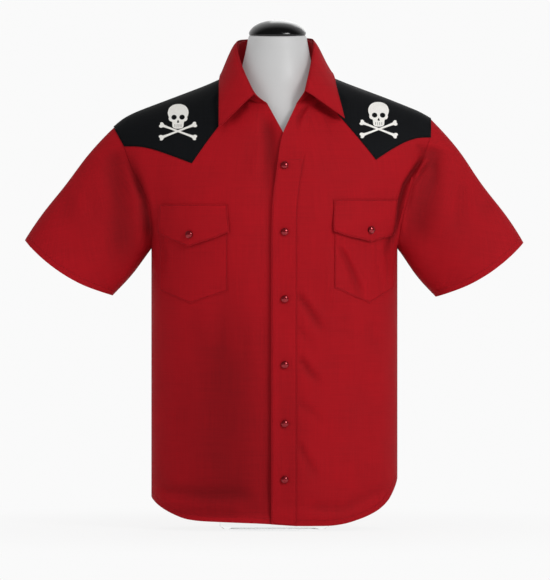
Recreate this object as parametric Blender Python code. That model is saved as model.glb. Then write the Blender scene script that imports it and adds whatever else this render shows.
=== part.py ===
# Short-sleeved western shirt with contrast yokes, worn by a limbless dress form.
# Metres, +Z up. The shirt faces -Y, so the wearer's right is at -X. Z = 0 is the surface it stands on.

import math
from collections import namedtuple

import bmesh
import bpy
import numpy as np
from mathutils import Matrix, Vector

# ---- cloth -------------------------------------------------------------------------------------
CLOTH = 0.0012            # thickness of every cloth wall
TRIM = 0.0010             # thickness of what is sewn on a panel: yokes, placket, pockets, flaps
SEAM = 0.0003             # gap between two pieces
PANEL_SEAM = SEAM / 1.6   # what each of two panels gives up where they are sewn together

# ---- body of the shirt, as level sections ------------------------------------------------------
HALF_WIDTH = 0.203        # below the armpits
ARMPIT = 0.462            # height of the armpits
SECTION_POWER = 2.2       # 2 is an ellipse, more is squarer
NORMAL_STEP = 0.002       # reach over which the surface's slope is read
CAP_WIDENING = 0.085      # how far the sections widen between armpit and shoulder tip
CAP_HEIGHT = 0.200
CLIMB_LIMIT = 1.5         # sections are followed this far beyond the ridge, as a share of its height
BODY_CENTRE = (0, 0, 0.4)

Level = namedtuple("Level", "height front back")
BODY_LEVELS = [
    Level(0.000, 0.112, 0.104),
    Level(0.250, 0.116, 0.104),
    Level(0.462, 0.128, 0.118),
    Level(0.800, 0.128, 0.118),
]

Spot = namedtuple("Spot", "across height")
# Height of the shoulder ridge, carried on over the neck so that the chest keeps its curve there.
RIDGE = [
    Spot(-0.265, 0.662), Spot(-0.245, 0.680), Spot(-0.134, 0.722), Spot(-0.100, 0.735),
    Spot(-0.088, 0.740), Spot(-0.076, 0.747), Spot(0.003, 0.785), Spot(0.080, 0.750),
    Spot(0.094, 0.742), Spot(0.108, 0.736), Spot(0.136, 0.728), Spot(0.240, 0.687),
    Spot(0.258, 0.676),
]
HEM = [
    Spot(-0.203, 0.053), Spot(-0.194, 0.040), Spot(-0.176, 0.025), Spot(-0.154, 0.015),
    Spot(-0.137, 0.011), Spot(-0.022, 0.007), Spot(0.037, 0.003), Spot(0.106, 0.003),
    Spot(0.137, 0.011), Spot(0.159, 0.022), Spot(0.177, 0.033), Spot(0.191, 0.050), Spot(0.203, 0.083),
]

# ---- fronts ------------------------------------------------------------------------------------
# A column of a front: where it stands below the chest, and where it ends at the neck or shoulder.
Column = namedtuple("Column", "low top")
# The wearer's right front runs on under the other one, so it starts on the far side of the centre.
RIGHT_COLUMNS = [
    Column(0.037, -0.011), Column(0.016, -0.026), Column(-0.005, -0.041), Column(-0.025, -0.053),
    Column(-0.042, -0.0635), Column(-0.058, -0.0715), Column(-0.076, -0.076), Column(-0.106, -0.106),
    Column(-0.137, -0.133), Column(-0.165, -0.168), Column(-0.188, -0.202), Column(-0.198, -0.228),
    Column(-0.202, -0.249), Column(-0.203, -0.265),
]
LEFT_COLUMNS = [
    Column(-0.005, 0.036), Column(0.016, 0.051), Column(0.037, 0.063), Column(0.056, 0.071),
    Column(0.076, 0.077), Column(0.098, 0.080), Column(0.128, 0.120), Column(0.156, 0.170),
    Column(0.179, 0.198), Column(0.196, 0.221), Column(0.2015, 0.241), Column(0.203, 0.258),
]
RIGHT_NECK = [
    Spot(-0.076, 0.747), Spot(-0.0715, 0.742), Spot(-0.0635, 0.728), Spot(-0.053, 0.713),
    Spot(-0.041, 0.704), Spot(-0.026, 0.698), Spot(-0.011, 0.697),
]
LEFT_NECK = [
    Spot(0.036, 0.697), Spot(0.051, 0.706), Spot(0.063, 0.721), Spot(0.071, 0.735), Spot(0.077, 0.746),
    Spot(0.080, 0.750),
]
# How far a column has moved from its low to its top place, by height.
Shift = namedtuple("Shift", "height share")
RIGHT_EDGE = [Shift(0.550, 0.0), Shift(0.600, 0.06), Shift(0.657, 0.44), Shift(0.697, 1.0)]
LEFT_EDGE = [
    Shift(0.509, 0.0), Shift(0.581, 0.10), Shift(0.633, 0.30), Shift(0.657, 0.51), Shift(0.697, 1.0),
]
RIGHT_ARMHOLE = [
    Shift(0.480, 0.0), Shift(0.533, 0.05), Shift(0.563, 0.29), Shift(0.596, 0.55), Shift(0.629, 0.70),
    Shift(0.662, 1.0),
]
LEFT_ARMHOLE = [
    Shift(0.470, 0.0), Shift(0.496, 0.07), Shift(0.541, 0.28), Shift(0.588, 0.53), Shift(0.610, 0.74),
    Shift(0.640, 0.98), Shift(0.677, 1.0),
]
# Lower edge of each front yoke: level from the armhole, down to a point, then up under the collar.
RIGHT_YOKE = [
    Spot(-0.222, 0.629), Spot(-0.194, 0.623), Spot(-0.166, 0.612), Spot(-0.1345, 0.600),
    Spot(-0.111, 0.634), Spot(-0.091, 0.661), Spot(-0.066, 0.694), Spot(-0.045, 0.690),
    Spot(-0.015, 0.672), Spot(0.037, 0.620),
]
LEFT_YOKE = [
    Spot(-0.005, 0.630), Spot(0.036, 0.665), Spot(0.060, 0.694), Spot(0.076, 0.713), Spot(0.105, 0.678),
    Spot(0.133, 0.647), Spot(0.166, 0.606), Spot(0.192, 0.624), Spot(0.215, 0.638), Spot(0.237, 0.644),
]
Pocket = namedtuple("Pocket", "inner axis outer top corner point base tip snap")
RIGHT_POCKET = Pocket(-0.076, -0.137, -0.188, 0.533, 0.487, 0.464, 0.392, 0.372, 0.484)
LEFT_POCKET = Pocket(0.098, 0.156, 0.196, 0.541, 0.489, 0.472, 0.397, 0.372, 0.492)
# Heights of the rows at the side seam and at the centre front, where no pocket sets them.
CENTRE_COLUMN = 0.010
BASE_SIDE = 0.392
BASE_CENTRE = 0.394
POINT_CENTRE = 0.480
CHEST_CENTRE = 0.537
UNDERLAP = 0.0036         # how much deeper the wearer's right front lies under the left one
UNDERLAP_START = -0.040
UNDERLAP_REACH = 0.032

# Steps between the rows that every panel shares: hem, pocket base, armpit and flap edge, flap top,
# yoke edge, and neck or shoulder.
HEM_STEPS = np.linspace(0, 1, 8)
POCKET_STEPS = np.linspace(0, 1, 4)
ARMPIT_STEPS = np.array([0, 0.03, 0.09, 0.22, 0.50, 1])
CHEST_STEPS = np.linspace(0, 1, 4)
SHOULDER_STEPS = np.sin(np.linspace(0, math.pi / 2, 6))
STEPS = [HEM_STEPS, POCKET_STEPS, ARMPIT_STEPS, CHEST_STEPS, SHOULDER_STEPS]
POCKET_ROW = len(HEM_STEPS) - 1
FLAP_ROW = POCKET_ROW + len(POCKET_STEPS) - 1
TOP_ROW = FLAP_ROW + len(ARMPIT_STEPS) - 1
YOKE_ROW = TOP_ROW + len(CHEST_STEPS) - 1

# The columns of its front that each sewn-on piece covers.
RIGHT_YOKE_COLUMNS = np.s_[5:]
LEFT_YOKE_COLUMNS = np.s_[4:]
PLACKET_COLUMNS = np.s_[:3]
RIGHT_POCKET_COLUMNS = np.s_[6:11]
LEFT_POCKET_COLUMNS = np.s_[5:10]

# ---- back --------------------------------------------------------------------------------------
BACK_NECK = [
    Spot(-0.076, 0.747), Spot(-0.045, 0.751), Spot(0.003, 0.753), Spot(0.047, 0.752), Spot(0.080, 0.750),
]
BACK_NECK_COLUMNS = [Column(-0.030, -0.045), Column(0.003, 0.003), Column(0.034, 0.047)]
BACK_YOKE_DIP = 0.035     # how far the back yoke's centre point hangs below its ends
BACK_DIP_REACH = 0.150    # and how far to each side the dip reaches
BACK_HEM_RISE = 0.003     # the back hem lies this much higher
BACK_SHIFT_FROM = 0.500   # above this the columns move from their low to their top places
BACK_SHIFT_REACH = 0.150
BACK_CALM_WIDTH = 0.130   # columns farther out than this bend to meet the fronts

# ---- folds: soft troughs, each from one spot to another in the front view ----------------------
Fold = namedtuple("Fold", "x0 z0 x1 z1 width depth")
FOLD_END = 0.15           # a fold is this deep at its ends, as a share of half a wave
FOLD_TURN = 0.030         # folds fade out this close to the shoulder plane
FRONT_FOLDS = [
    Fold(0.040, 0.385, 0.094, 0.318, 0.013, 0.0040),
    Fold(0.042, 0.280, 0.090, 0.236, 0.012, 0.0030),
    Fold(0.044, 0.222, 0.096, 0.176, 0.013, 0.0040),
    Fold(0.042, 0.140, 0.098, 0.108, 0.012, 0.0030),
    Fold(0.118, 0.455, 0.146, 0.375, 0.010, 0.0030),
    Fold(0.196, 0.600, 0.184, 0.500, 0.014, 0.0050),
    Fold(-0.190, 0.590, -0.184, 0.500, 0.016, 0.0040),
    Fold(-0.110, 0.330, -0.095, 0.120, 0.022, 0.0025),
]
BACK_FOLDS = [
    Fold(-0.180, 0.600, -0.165, 0.440, 0.016, 0.0050),
    Fold(0.182, 0.600, 0.168, 0.430, 0.016, 0.0050),
    Fold(-0.060, 0.380, -0.050, 0.090, 0.024, 0.0040),
    Fold(0.070, 0.420, 0.055, 0.120, 0.024, 0.0040),
]
SLEEVE_FOLDS = [
    Fold(0.262, 0.630, 0.226, 0.475, 0.010, 0.0060),
    Fold(0.290, 0.600, 0.262, 0.440, 0.012, 0.0040),
    Fold(0.330, 0.560, 0.345, 0.450, 0.016, 0.0030),
]

# ---- sleeves -----------------------------------------------------------------------------------
# The cuff ring, in the front view, from its corner under the arm to its corner on top.
Cuff = namedtuple("Cuff", "under_x under_z over_x over_z half_depth bow")
RIGHT_CUFF = Cuff(-0.269, 0.384, -0.412, 0.476, 0.052, 0.013)
LEFT_CUFF = Cuff(0.268, 0.382, 0.411, 0.472, 0.052, 0.013)
SLEEVE_STEPS = np.array([0, 0.06, 0.16, 0.30, 0.45, 0.62, 0.80, 0.93, 1])
SLEEVE_CROWN = 0.009      # how far the top of a sleeve bulges above a straight line
SLEEVE_SEAM = 0.0005      # gap at the armhole, where the walls meet at an angle
SLEEVE_CALM = 0.10        # the share of its length, next to the armhole, in which folds fade in

# ---- collar ------------------------------------------------------------------------------------
Place = namedtuple("Place", "x y z")
# The fold line between stand and leaf, from the wearer's right end, round the back, to the left end.
FOLD_LINE = [
    Place(-0.032, -0.100, 0.713), Place(-0.044, -0.086, 0.738), Place(-0.056, -0.056, 0.767),
    Place(-0.063, -0.014, 0.801), Place(-0.045, 0.038, 0.809), Place(0.003, 0.056, 0.811),
    Place(0.052, 0.038, 0.811), Place(0.065, -0.014, 0.803), Place(0.061, -0.056, 0.767),
    Place(0.055, -0.086, 0.740), Place(0.050, -0.100, 0.718),
]
# The leaf's free edge, from one point of the collar round the back to the other.
LEAF_EDGE = [
    Place(-0.091, -0.097, 0.657), Place(-0.091, -0.086, 0.684), Place(-0.091, -0.064, 0.716),
    Place(-0.090, -0.010, 0.748), Place(-0.075, 0.054, 0.747), Place(0.003, 0.084, 0.743),
    Place(0.079, 0.054, 0.749), Place(0.097, -0.010, 0.751), Place(0.102, -0.052, 0.726),
    Place(0.110, -0.074, 0.695), Place(0.115, -0.086, 0.674),
]
LEAF_STEPS = np.array([0, 0.05, 0.16, 0.40, 0.70, 1])
LEAF_COLUMNS = 25
LEAF_ROLL = 0.004         # how far the leaf stands out beyond a straight fall
STAND_CENTRE = (0.003, -0.020, 0.75)
LEAF_CENTRE = (0.003, -0.020, 0.72)
STAND_STEPS = np.linspace(0, 1, 4)
STAND_INSET = 0.0010      # the stand's top lies this far inside the fold line
STAND_DROP = 0.0022       # and this far below it

# ---- snaps -------------------------------------------------------------------------------------
SNAP_RADIUS = 0.006
SNAP_HEIGHT = 0.003
SNAP_SIDES = 12
SNAP_GAP = 0.0007          # under a snap, because the cloth there is slightly curved
PLACKET_SNAPS = [0.596, 0.488, 0.379, 0.272, 0.176, 0.085]
SNAP_LINE = 0.0165        # where the placket's snaps stand

# A turned outline: radius and height, each as a share of the whole.
Turn = namedtuple("Turn", "reach rise")
SNAP_PROFILE = [Turn(1.0, 0.0), Turn(1.0, 0.25), Turn(0.88, 0.62), Turn(0.55, 0.92), Turn(0.18, 1.0)]
CAP_PROFILE = [
    Turn(0.96, 0.0), Turn(1.0, 0.05), Turn(1.01, 0.16), Turn(0.97, 0.32), Turn(0.86, 0.56),
    Turn(0.66, 0.79), Turn(0.38, 0.94), Turn(0.12, 1.0),
]

# ---- dress form --------------------------------------------------------------------------------
FORM_BOTTOM = 0.105
FORM_SHARE = 0.90         # its depth as a share of the shirt's
FORM_SLACK = 0.004        # and less this much all round
FORM_RIDGE_GAP = 0.0023   # its shoulder ridge lies this far under the shirt's outer face
FORM_SHOULDER = 0.225     # its shoulders end here, to each side
FORM_SIDES = 48
FORM_RIDGE_POWER = 1.7
FORM_END_POWER = 8        # how squarely the shoulders end
FORM_BLEND_POWER = 10     # how closely torso and neck run into each other
FORM_SLACK_REACH = 0.030  # the slack is full this far under the ridge
FORM_FULL_HEIGHT = 0.600  # from here up its sections are as wide as the shirt's
FORM_NECK_BASE = 0.722    # between these heights the shoulders run out into the neck
FORM_NECK_TOP = 0.756
FORM_LEVELS = [
    0.105, 0.112, 0.180, 0.260, 0.340, 0.420, 0.480, 0.530, 0.575, 0.610, 0.635, 0.655, 0.672,
    0.686, 0.699, 0.711, 0.722, 0.732, 0.741, 0.750, 0.760, 0.772, 0.790, 0.804, 0.810, 0.8125,
]
NeckLevel = namedtuple("NeckLevel", "height radius x y")
NECK_LEVELS = [
    NeckLevel(0.600, 0.060, 0.005, -0.012), NeckLevel(0.735, 0.062, 0.005, -0.014),
    NeckLevel(0.765, 0.057, 0.0045, -0.015), NeckLevel(0.790, 0.0515, 0.005, -0.016),
    NeckLevel(0.810, 0.0480, 0.005, -0.017), NeckLevel(0.8125, 0.0465, 0.005, -0.017),
]
NECK_LEAN_FROM = 0.772    # from here up the neck's levels come to lean forward
CAP_RADIUS = 0.047
CAP_RISE = 0.025
CAP_TILT = math.radians(5)
CAP_SIDES = 36
PLINTH_HALF_WIDTH = 0.090
PLINTH_HALF_DEPTH = 0.066
PLINTH_SIDES = 40
PLINTH_ROUND = 0.004

# ---- finishes ----------------------------------------------------------------------------------
Finish = namedtuple("Finish", "name color roughness metallic clear")
RED_COTTON = Finish("red_cotton", (0.36, 0.012, 0.018), 0.75, 0, 0)
BLACK_COTTON = Finish("black_cotton", (0.010, 0.011, 0.012), 0.75, 0, 0)
PEARL_SNAP = Finish("pearl_snap", (0.30, 0.012, 0.018), 0.20, 0, 0)
FORM_SKIN = Finish("form_skin", (0.54, 0.54, 0.54), 0.60, 0, 0)
CAP_LACQUER = Finish("cap_lacquer", (0.010, 0.011, 0.012), 0.15, 0, 0)
CLEAR_ACRYLIC = Finish("clear_acrylic", (0.90, 0.90, 0.90), 0.10, 0, 0.9)
SHARP_ANGLE = math.radians(50)


# ---- materials and meshes ----------------------------------------------------------------------
def make_material(finish):
    material = bpy.data.materials.new(finish.name)
    material.use_nodes = True
    shader = material.node_tree.nodes["Principled BSDF"]
    shader.inputs["Base Color"].default_value = (*finish.color, 1)
    shader.inputs["Roughness"].default_value = finish.roughness
    shader.inputs["Metallic"].default_value = finish.metallic
    shader.inputs["Transmission Weight"].default_value = finish.clear
    return material


def add_object(name, form, material):
    mesh = bpy.data.meshes.new(name)
    form.to_mesh(mesh)
    form.free()
    mesh.materials.append(material)
    mesh.shade_smooth()
    mesh.set_sharp_from_angle(angle=SHARP_ANGLE)
    item = bpy.data.objects.new(name, mesh)
    bpy.context.scene.collection.objects.link(item)
    return item


def add_wall(name, sheet, low, high, material, rows=slice(None), columns=slice(None)):
    """A closed wall between two offsets of a sheet's points along its normals."""
    points = sheet.points[rows, columns]
    normals = sheet.normals[rows, columns]
    high_side = points + normals * high
    low_side = points + normals * low
    count_rows, count_columns = points.shape[:2]
    last = count_columns if sheet.closed else count_columns - 1
    form = bmesh.new()
    high_verts = [[form.verts.new(p) for p in row] for row in high_side]
    low_verts = [[form.verts.new(p) for p in row] for row in low_side]
    for i in range(count_rows - 1):
        for j in range(last):
            k = (j + 1) % count_columns
            corners = ((i, j), (i, k), (i + 1, k), (i + 1, j))
            for triangle in (corners[:3], (corners[0], corners[2], corners[3])):
                form.faces.new([high_verts[r][c] for r, c in triangle])
                form.faces.new([low_verts[r][c] for r, c in reversed(triangle)])
    rim = [high_verts[0], high_verts[-1]]
    rim_low = [low_verts[0], low_verts[-1]]
    if not sheet.closed:
        rim += [[row[0] for row in high_verts], [row[-1] for row in high_verts]]
        rim_low += [[row[0] for row in low_verts], [row[-1] for row in low_verts]]
    for high_line, low_line in zip(rim, rim_low):
        span = len(high_line) if sheet.closed else len(high_line) - 1
        for j in range(span):
            k = (j + 1) % len(high_line)
            form.faces.new((high_line[j], high_line[k], low_line[k]))
            form.faces.new((high_line[j], low_line[k], low_line[j]))
    bmesh.ops.recalc_face_normals(form, faces=form.faces)
    return add_object(name, form, material)


def add_rings(name, rings, material):
    """A closed solid through rings of points, with flat ends."""
    form = bmesh.new()
    loops = [[form.verts.new(p) for p in ring] for ring in rings]
    count = len(loops[0])
    for lower, upper in zip(loops, loops[1:]):
        for j in range(count):
            k = (j + 1) % count
            form.faces.new((lower[j], lower[k], upper[k]))
            form.faces.new((lower[j], upper[k], upper[j]))
    form.faces.new(list(reversed(loops[0])))
    form.faces.new(loops[-1])
    bmesh.ops.recalc_face_normals(form, faces=form.faces)
    return add_object(name, form, material)


def turned_rings(profile, size, sides, move):
    """Rings of points around an axis, from an outline given as shares of the size."""
    rings = []
    for reach, rise in profile:
        ring = []
        for angle in np.linspace(0, 2 * math.pi, sides, endpoint=False):
            spot = Vector((size[0] * reach * math.cos(angle), size[1] * reach * math.sin(angle),
                           size[2] * rise))
            ring.append(move @ spot)
        rings.append(ring)
    return rings


# ---- sheets: grids of points with a normal at each ----------------------------------------------
def unit(vectors):
    return vectors / np.linalg.norm(vectors, axis=-1, keepdims=True)


class Sheet:
    """A grid of points on the outer face of a cloth piece, rows by columns."""

    def __init__(self, points, centre, closed=False, normals=None):
        self.points = points
        self.closed = closed
        self.normals = normals
        if normals is None:
            self.find_normals(centre)

    def find_normals(self, centre):
        points, closed = self.points, self.closed
        along_rows = np.gradient(points, axis=0)
        if closed:
            along_columns = np.roll(points, -1, axis=1) - np.roll(points, 1, axis=1)
        else:
            along_columns = np.gradient(points, axis=1)
        self.normals = unit(np.cross(along_columns, along_rows))
        middle = points.shape[0] // 2
        outward = points[middle] - np.array(centre)
        if np.sum(self.normals[middle] * outward) < 0:
            self.normals = -self.normals

    def fold(self, folds, side):
        """Push the outer face in along each fold, where it faces the given side."""
        depth = fold_depth(self.points[..., 0], self.points[..., 2], folds)
        facing = np.clip(self.points[..., 1] * side / FOLD_TURN, 0, 1)
        self.points = self.points - self.normals * (depth * facing)[..., None]

    def draw_back(self, place, inner, gap):
        """Move one edge towards the row or column inside it."""
        self.points[place] += unit(self.points[inner] - self.points[place]) * gap


def meet(first, first_place, second, second_place, least=0.3):
    """Give two edges that are sewn together one normal, except where they form a deep valley."""
    ours = first.normals[first_place]
    theirs = second.normals[second_place]
    agree = np.sum(ours * theirs, axis=-1, keepdims=True) > least
    shared = unit(ours + theirs)
    first.normals[first_place] = np.where(agree, shared, ours)
    second.normals[second_place] = np.where(agree, shared, theirs)


def fold_depth(x, z, folds):
    total = np.zeros_like(x)
    for fold in folds:
        run = np.array([fold.x1 - fold.x0, fold.z1 - fold.z0])
        along = ((x - fold.x0) * run[0] + (z - fold.z0) * run[1]) / (run @ run)
        held = np.clip(along, 0, 1)
        away = np.hypot(x - fold.x0 - held * run[0], z - fold.z0 - held * run[1])
        taper = np.sin(math.pi * (FOLD_END + (1 - 2 * FOLD_END) * held))
        total += fold.depth * taper * np.exp(-(away / fold.width) ** 2)
    return total


def read(table, value):
    """Read a two-column table at a value, straight between its rows."""
    return np.interp(value, [row[0] for row in table], [row[1] for row in table])


def smooth_line(places, count, steps=12):
    """Points along a smooth curve through the given places, at even steps or at given shares."""
    knots = np.array(places)
    ends = np.vstack([2 * knots[0] - knots[1], knots, 2 * knots[-1] - knots[-2]])
    dense = []
    for a, b, c, d in zip(ends, ends[1:], ends[2:], ends[3:]):
        for t in np.linspace(0, 1, steps, endpoint=False):
            dense.append(0.5 * (2 * b + (c - a) * t + (2 * a - 5 * b + 4 * c - d) * t ** 2
                                + (3 * b - a - 3 * c + d) * t ** 3))
    dense.append(knots[-1])
    dense = np.array(dense)
    reach = np.concatenate([[0], np.cumsum(np.linalg.norm(np.diff(dense, axis=0), axis=1))])
    shares = np.linspace(0, 1, count) if np.isscalar(count) else np.asarray(count)
    return np.stack([np.interp(shares * reach[-1], reach, dense[:, i]) for i in range(3)], axis=1)


# ---- body surface ------------------------------------------------------------------------------
def depth_at(x, z, side, power=2.0):
    """How far the shirt stands out from the shoulder plane, to the front (-1) or back (1)."""
    column = 1 if side < 0 else 2
    full = np.interp(z, [row.height for row in BODY_LEVELS], [row[column] for row in BODY_LEVELS])
    ridge = read(RIDGE, x)
    climb = np.clip((z - ARMPIT) / (ridge - ARMPIT), 0, 1)
    roll = (1 - climb ** power) ** (1 / power)
    rise = np.clip((z - ARMPIT) / CAP_HEIGHT, 0, CLIMB_LIMIT)
    half = HALF_WIDTH + CAP_WIDENING * rise
    across = np.clip(np.abs(x) / half, 0, 1)
    return full * roll * (1 - across ** SECTION_POWER) ** (1 / SECTION_POWER)


def body_normals(points, side):
    """The body surface's outward normals, smooth across side seams and shoulder ridge."""
    def outside(spots):
        x, y, z = spots[..., 0], spots[..., 1], spots[..., 2]
        column = 1 if side < 0 else 2
        full = np.interp(z, [row.height for row in BODY_LEVELS], [row[column] for row in BODY_LEVELS])
        climb = np.clip((z - ARMPIT) / (read(RIDGE, x) - ARMPIT), 0, CLIMB_LIMIT)
        half = HALF_WIDTH + CAP_WIDENING * np.clip((z - ARMPIT) / CAP_HEIGHT, 0, CLIMB_LIMIT)
        room = 1 - (np.abs(x) / half) ** SECTION_POWER
        across = np.sign(room) * np.abs(room) ** (2 / SECTION_POWER)
        return (y / full) ** 2 - (1 - climb ** 2) * across
    slopes = []
    for axis in range(3):
        step = np.zeros(3)
        step[axis] = NORMAL_STEP
        slopes.append(outside(points + step) - outside(points - step))
    return unit(np.stack(slopes, axis=-1))


def on_body(flat, side):
    x, z = flat[..., 0], flat[..., 1]
    return np.stack([x, side * depth_at(x, z, side), z], axis=-1)


def column_places(columns, edge_shift, armhole_shift, axis_index, height_of, rounds=12):
    """Where each column crosses a row whose height depends on where it is crossed."""
    places = []
    for index, column in enumerate(columns):
        shift = edge_shift if index < axis_index else armhole_shift
        x = column.low
        for _ in range(rounds):
            z = float(height_of(x))
            x = column.low + (column.top - column.low) * float(read(shift, z))
        places.append((x, z))
    return np.array(places)


def row_table(pocket, side, at_side, at_outer, at_axis, at_inner, at_centre):
    rows = [(side * CENTRE_COLUMN, at_centre), (pocket.inner, at_inner), (pocket.axis, at_axis),
            (pocket.outer, at_outer), (side * HALF_WIDTH, at_side)]
    return sorted(rows)


def fill_rows(keys):
    """All rows of a panel, from its key rows and the steps between them."""
    rows = [keys[0][None]]
    for lower, upper, steps in zip(keys, keys[1:], STEPS):
        rows.append(lower + (upper - lower) * steps[1:, None, None])
    return np.concatenate(rows)


def snap_to_armhole(flat, outer, shift):
    """Keep the rows between two key rows on the curve of the armhole."""
    heights = flat[FLAP_ROW:, -1, 1]
    flat[FLAP_ROW:, -1, 0] = outer.low + (outer.top - outer.low) * read(shift, heights)


def neck_shoulder(neck):
    """Where the neckline meets the shoulder seam."""
    return max(neck, key=lambda spot: spot.height)


def front_sheet(side, columns, edge_shift, armhole_shift, neck, yoke, pocket):
    axis_index = [column.low for column in columns].index(pocket.axis)
    tables = [
        HEM,
        row_table(pocket, side, BASE_SIDE, pocket.base, pocket.tip, pocket.base, BASE_CENTRE),
        row_table(pocket, side, ARMPIT, pocket.corner, pocket.point, pocket.corner, POINT_CENTRE),
        row_table(pocket, side, pocket.top, pocket.top, pocket.top, pocket.top, CHEST_CENTRE),
        yoke,
    ]
    keys = [column_places(columns, edge_shift, armhole_shift, axis_index, lambda x, t=t: read(t, x))
            for t in tables]
    top = sorted(list(neck) + [spot for spot in RIDGE if abs(spot.across) > abs(neck_shoulder(neck).across)
                               and spot.across * side > 0])
    keys.append(np.array([(column.top, float(read(top, column.top))) for column in columns]))
    flat = fill_rows(keys)
    snap_to_armhole(flat, columns[-1], armhole_shift)
    points = on_body(flat, -1)
    if side < 0:
        under = np.clip((points[..., 0] - UNDERLAP_START) / UNDERLAP_REACH, 0, 1)
        points[..., 1] += UNDERLAP * under * under * (3 - 2 * under)
    sheet = Sheet(points, BODY_CENTRE, normals=body_normals(points, -1))
    sheet.fold(FRONT_FOLDS, -1)
    return sheet


def back_sheet(right, left):
    """The back shares its side seams, armholes and shoulder seams with the two fronts."""
    right_columns = [c for c in RIGHT_COLUMNS if c.top <= neck_shoulder(RIGHT_NECK).across]
    left_columns = [c for c in LEFT_COLUMNS if c.top >= neck_shoulder(LEFT_NECK).across]
    columns = right_columns[::-1] + BACK_NECK_COLUMNS + left_columns
    low = np.array([column.low for column in columns])
    right_side, left_side = right.points[:, -1], left.points[:, -1]
    share = (low + HALF_WIDTH) / (2 * HALF_WIDTH)
    heights = right_side[:, 2:3] * (1 - share) + left_side[:, 2:3] * share
    last = heights.shape[0] - 1
    hem = np.array([float(read(HEM, x)) for x in low]) + BACK_HEM_RISE * (1 - np.abs(2 * share - 1))
    top_x = np.array([column.top for column in columns])
    top_z = np.array([float(read(BACK_NECK, x)) for x in top_x])
    for index, x in enumerate(top_x):
        if x <= BACK_NECK[0].across or x >= BACK_NECK[-1].across:
            top_z[index] = float(read(RIDGE, x))
    dip = BACK_YOKE_DIP * np.clip(1 - np.abs(low) / BACK_DIP_REACH, 0, 1)
    flat = np.zeros((last + 1, len(columns), 2))
    hem_share = np.concatenate([1 - HEM_STEPS, np.zeros(last - POCKET_ROW)])
    pull = np.concatenate([np.zeros(TOP_ROW), 1 - np.abs(CHEST_STEPS - 1), 1 - SHOULDER_STEPS[1:]])
    climb = np.concatenate([np.zeros(YOKE_ROW), SHOULDER_STEPS])
    hem_base = heights[0]
    heights = heights + hem_share[:, None] * (hem - hem_base)[None, :] - pull[:, None] * dip[None, :]
    yoke_line = heights[YOKE_ROW]
    heights[YOKE_ROW:] = yoke_line + (top_z - yoke_line) * climb[YOKE_ROW:, None]
    rise = np.clip((heights - BACK_SHIFT_FROM) / BACK_SHIFT_REACH, 0, 1)
    flat[..., 0] = low + (top_x - low) * rise
    flat[..., 1] = heights
    side_share = np.clip((np.abs(low) - BACK_CALM_WIDTH) / (HALF_WIDTH - BACK_CALM_WIDTH), 0, 1)
    for front, mask in ((right_side, low < 0), (left_side, low > 0)):
        column = 0 if front is right_side else -1
        off = front[:, 0] - flat[:, column, 0]
        flat[:, mask, 0] += off[:, None] * side_share[mask]
        flat[:, column, 1] = front[:, 2]
    points = on_body(flat, 1)
    for edge, front in ((0, right_side), (-1, left_side)):
        points[:POCKET_ROW, edge, 1] = front[:POCKET_ROW, 1]
    sheet = Sheet(points, BODY_CENTRE, normals=body_normals(points, 1))
    sheet.fold(BACK_FOLDS, 1)
    return sheet, len(right_columns), len(left_columns)


# ---- sleeves -----------------------------------------------------------------------------------
def sleeve_sheet(front, back, back_column, cuff):
    """A tube from the armhole's ring, up its front and down its back, to the ring of the cuff."""
    up_front = front.points[FLAP_ROW:, -1]
    down_back = back.points[FLAP_ROW:, back_column][::-1]
    armhole = np.concatenate([up_front, down_back[1:-1]])
    half = len(up_front) - 1
    reach = np.concatenate([[0], np.cumsum(np.linalg.norm(np.diff(up_front, axis=0), axis=1))])
    share = reach / reach[-1]
    angle = math.pi * np.concatenate([share, 2 - share[::-1][1:-1]])
    under = np.array([cuff.under_x, 0, cuff.under_z])
    over = np.array([cuff.over_x, 0, cuff.over_z])
    middle = (under + over) / 2
    chord = (over - under) / 2
    side = np.sign(cuff.over_x)
    out = unit(np.array([side * abs(chord[2]), 0, -abs(chord[0])]))
    spread = np.cos(angle)[:, None]
    ring = middle - spread * chord + np.sin(angle)[:, None] * np.array([0, -cuff.half_depth, 0])
    ring = ring + (1 - spread ** 2) * cuff.bow * out
    crown = np.clip(-spread, 0, 1) ** 2
    lift = unit(chord)
    rows = []
    for step in SLEEVE_STEPS:
        bulge = 4 * step * (1 - step)
        rows.append(armhole + (ring - armhole) * step + crown * bulge * SLEEVE_CROWN * lift)
    points = np.array(rows)
    sheet = Sheet(points, middle, closed=True)
    folds = [Fold(side * f.x0, f.z0, side * f.x1, f.z1, f.width, f.depth) for f in SLEEVE_FOLDS]
    fade = np.clip(SLEEVE_STEPS / SLEEVE_CALM, 0, 1)[:, None]
    for facing in (-1, 1):
        depth = fold_depth(points[..., 0], points[..., 2], folds) * fade
        depth *= np.clip(points[..., 1] * facing / FOLD_TURN, 0, 1)
        points = points - sheet.normals * depth[..., None]
    return Sheet(points, middle, closed=True), half


def settle_sleeve(sleeve, half, front, back, back_column):
    """Share the armhole's normals between sleeve and panels, and open the seam."""
    ring = np.s_[0, :half + 1]
    panel = np.s_[FLAP_ROW:, -1]
    meet(sleeve, ring, front, panel)
    order = np.concatenate([[0], np.arange(sleeve.points.shape[1] - 1, half - 1, -1)])
    meet(sleeve, (np.zeros(len(order), int), order), back, np.s_[FLAP_ROW:, back_column])
    sleeve.draw_back(np.s_[0], np.s_[1], SLEEVE_SEAM)


# ---- collar ------------------------------------------------------------------------------------
def neckline(right, left, back, right_count, left_count):
    """The seam of the collar, from the wearer's right front end round the back to the left one."""
    neck_columns = len(RIGHT_COLUMNS) - right_count
    first = right.points[-1, :neck_columns + 1]
    behind = back.points[-1, right_count - 1:back.points.shape[1] - left_count + 1]
    last = left.points[-1, :len(LEFT_COLUMNS) - left_count + 1][::-1]
    return np.concatenate([first, behind[1:-1], last])


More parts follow.
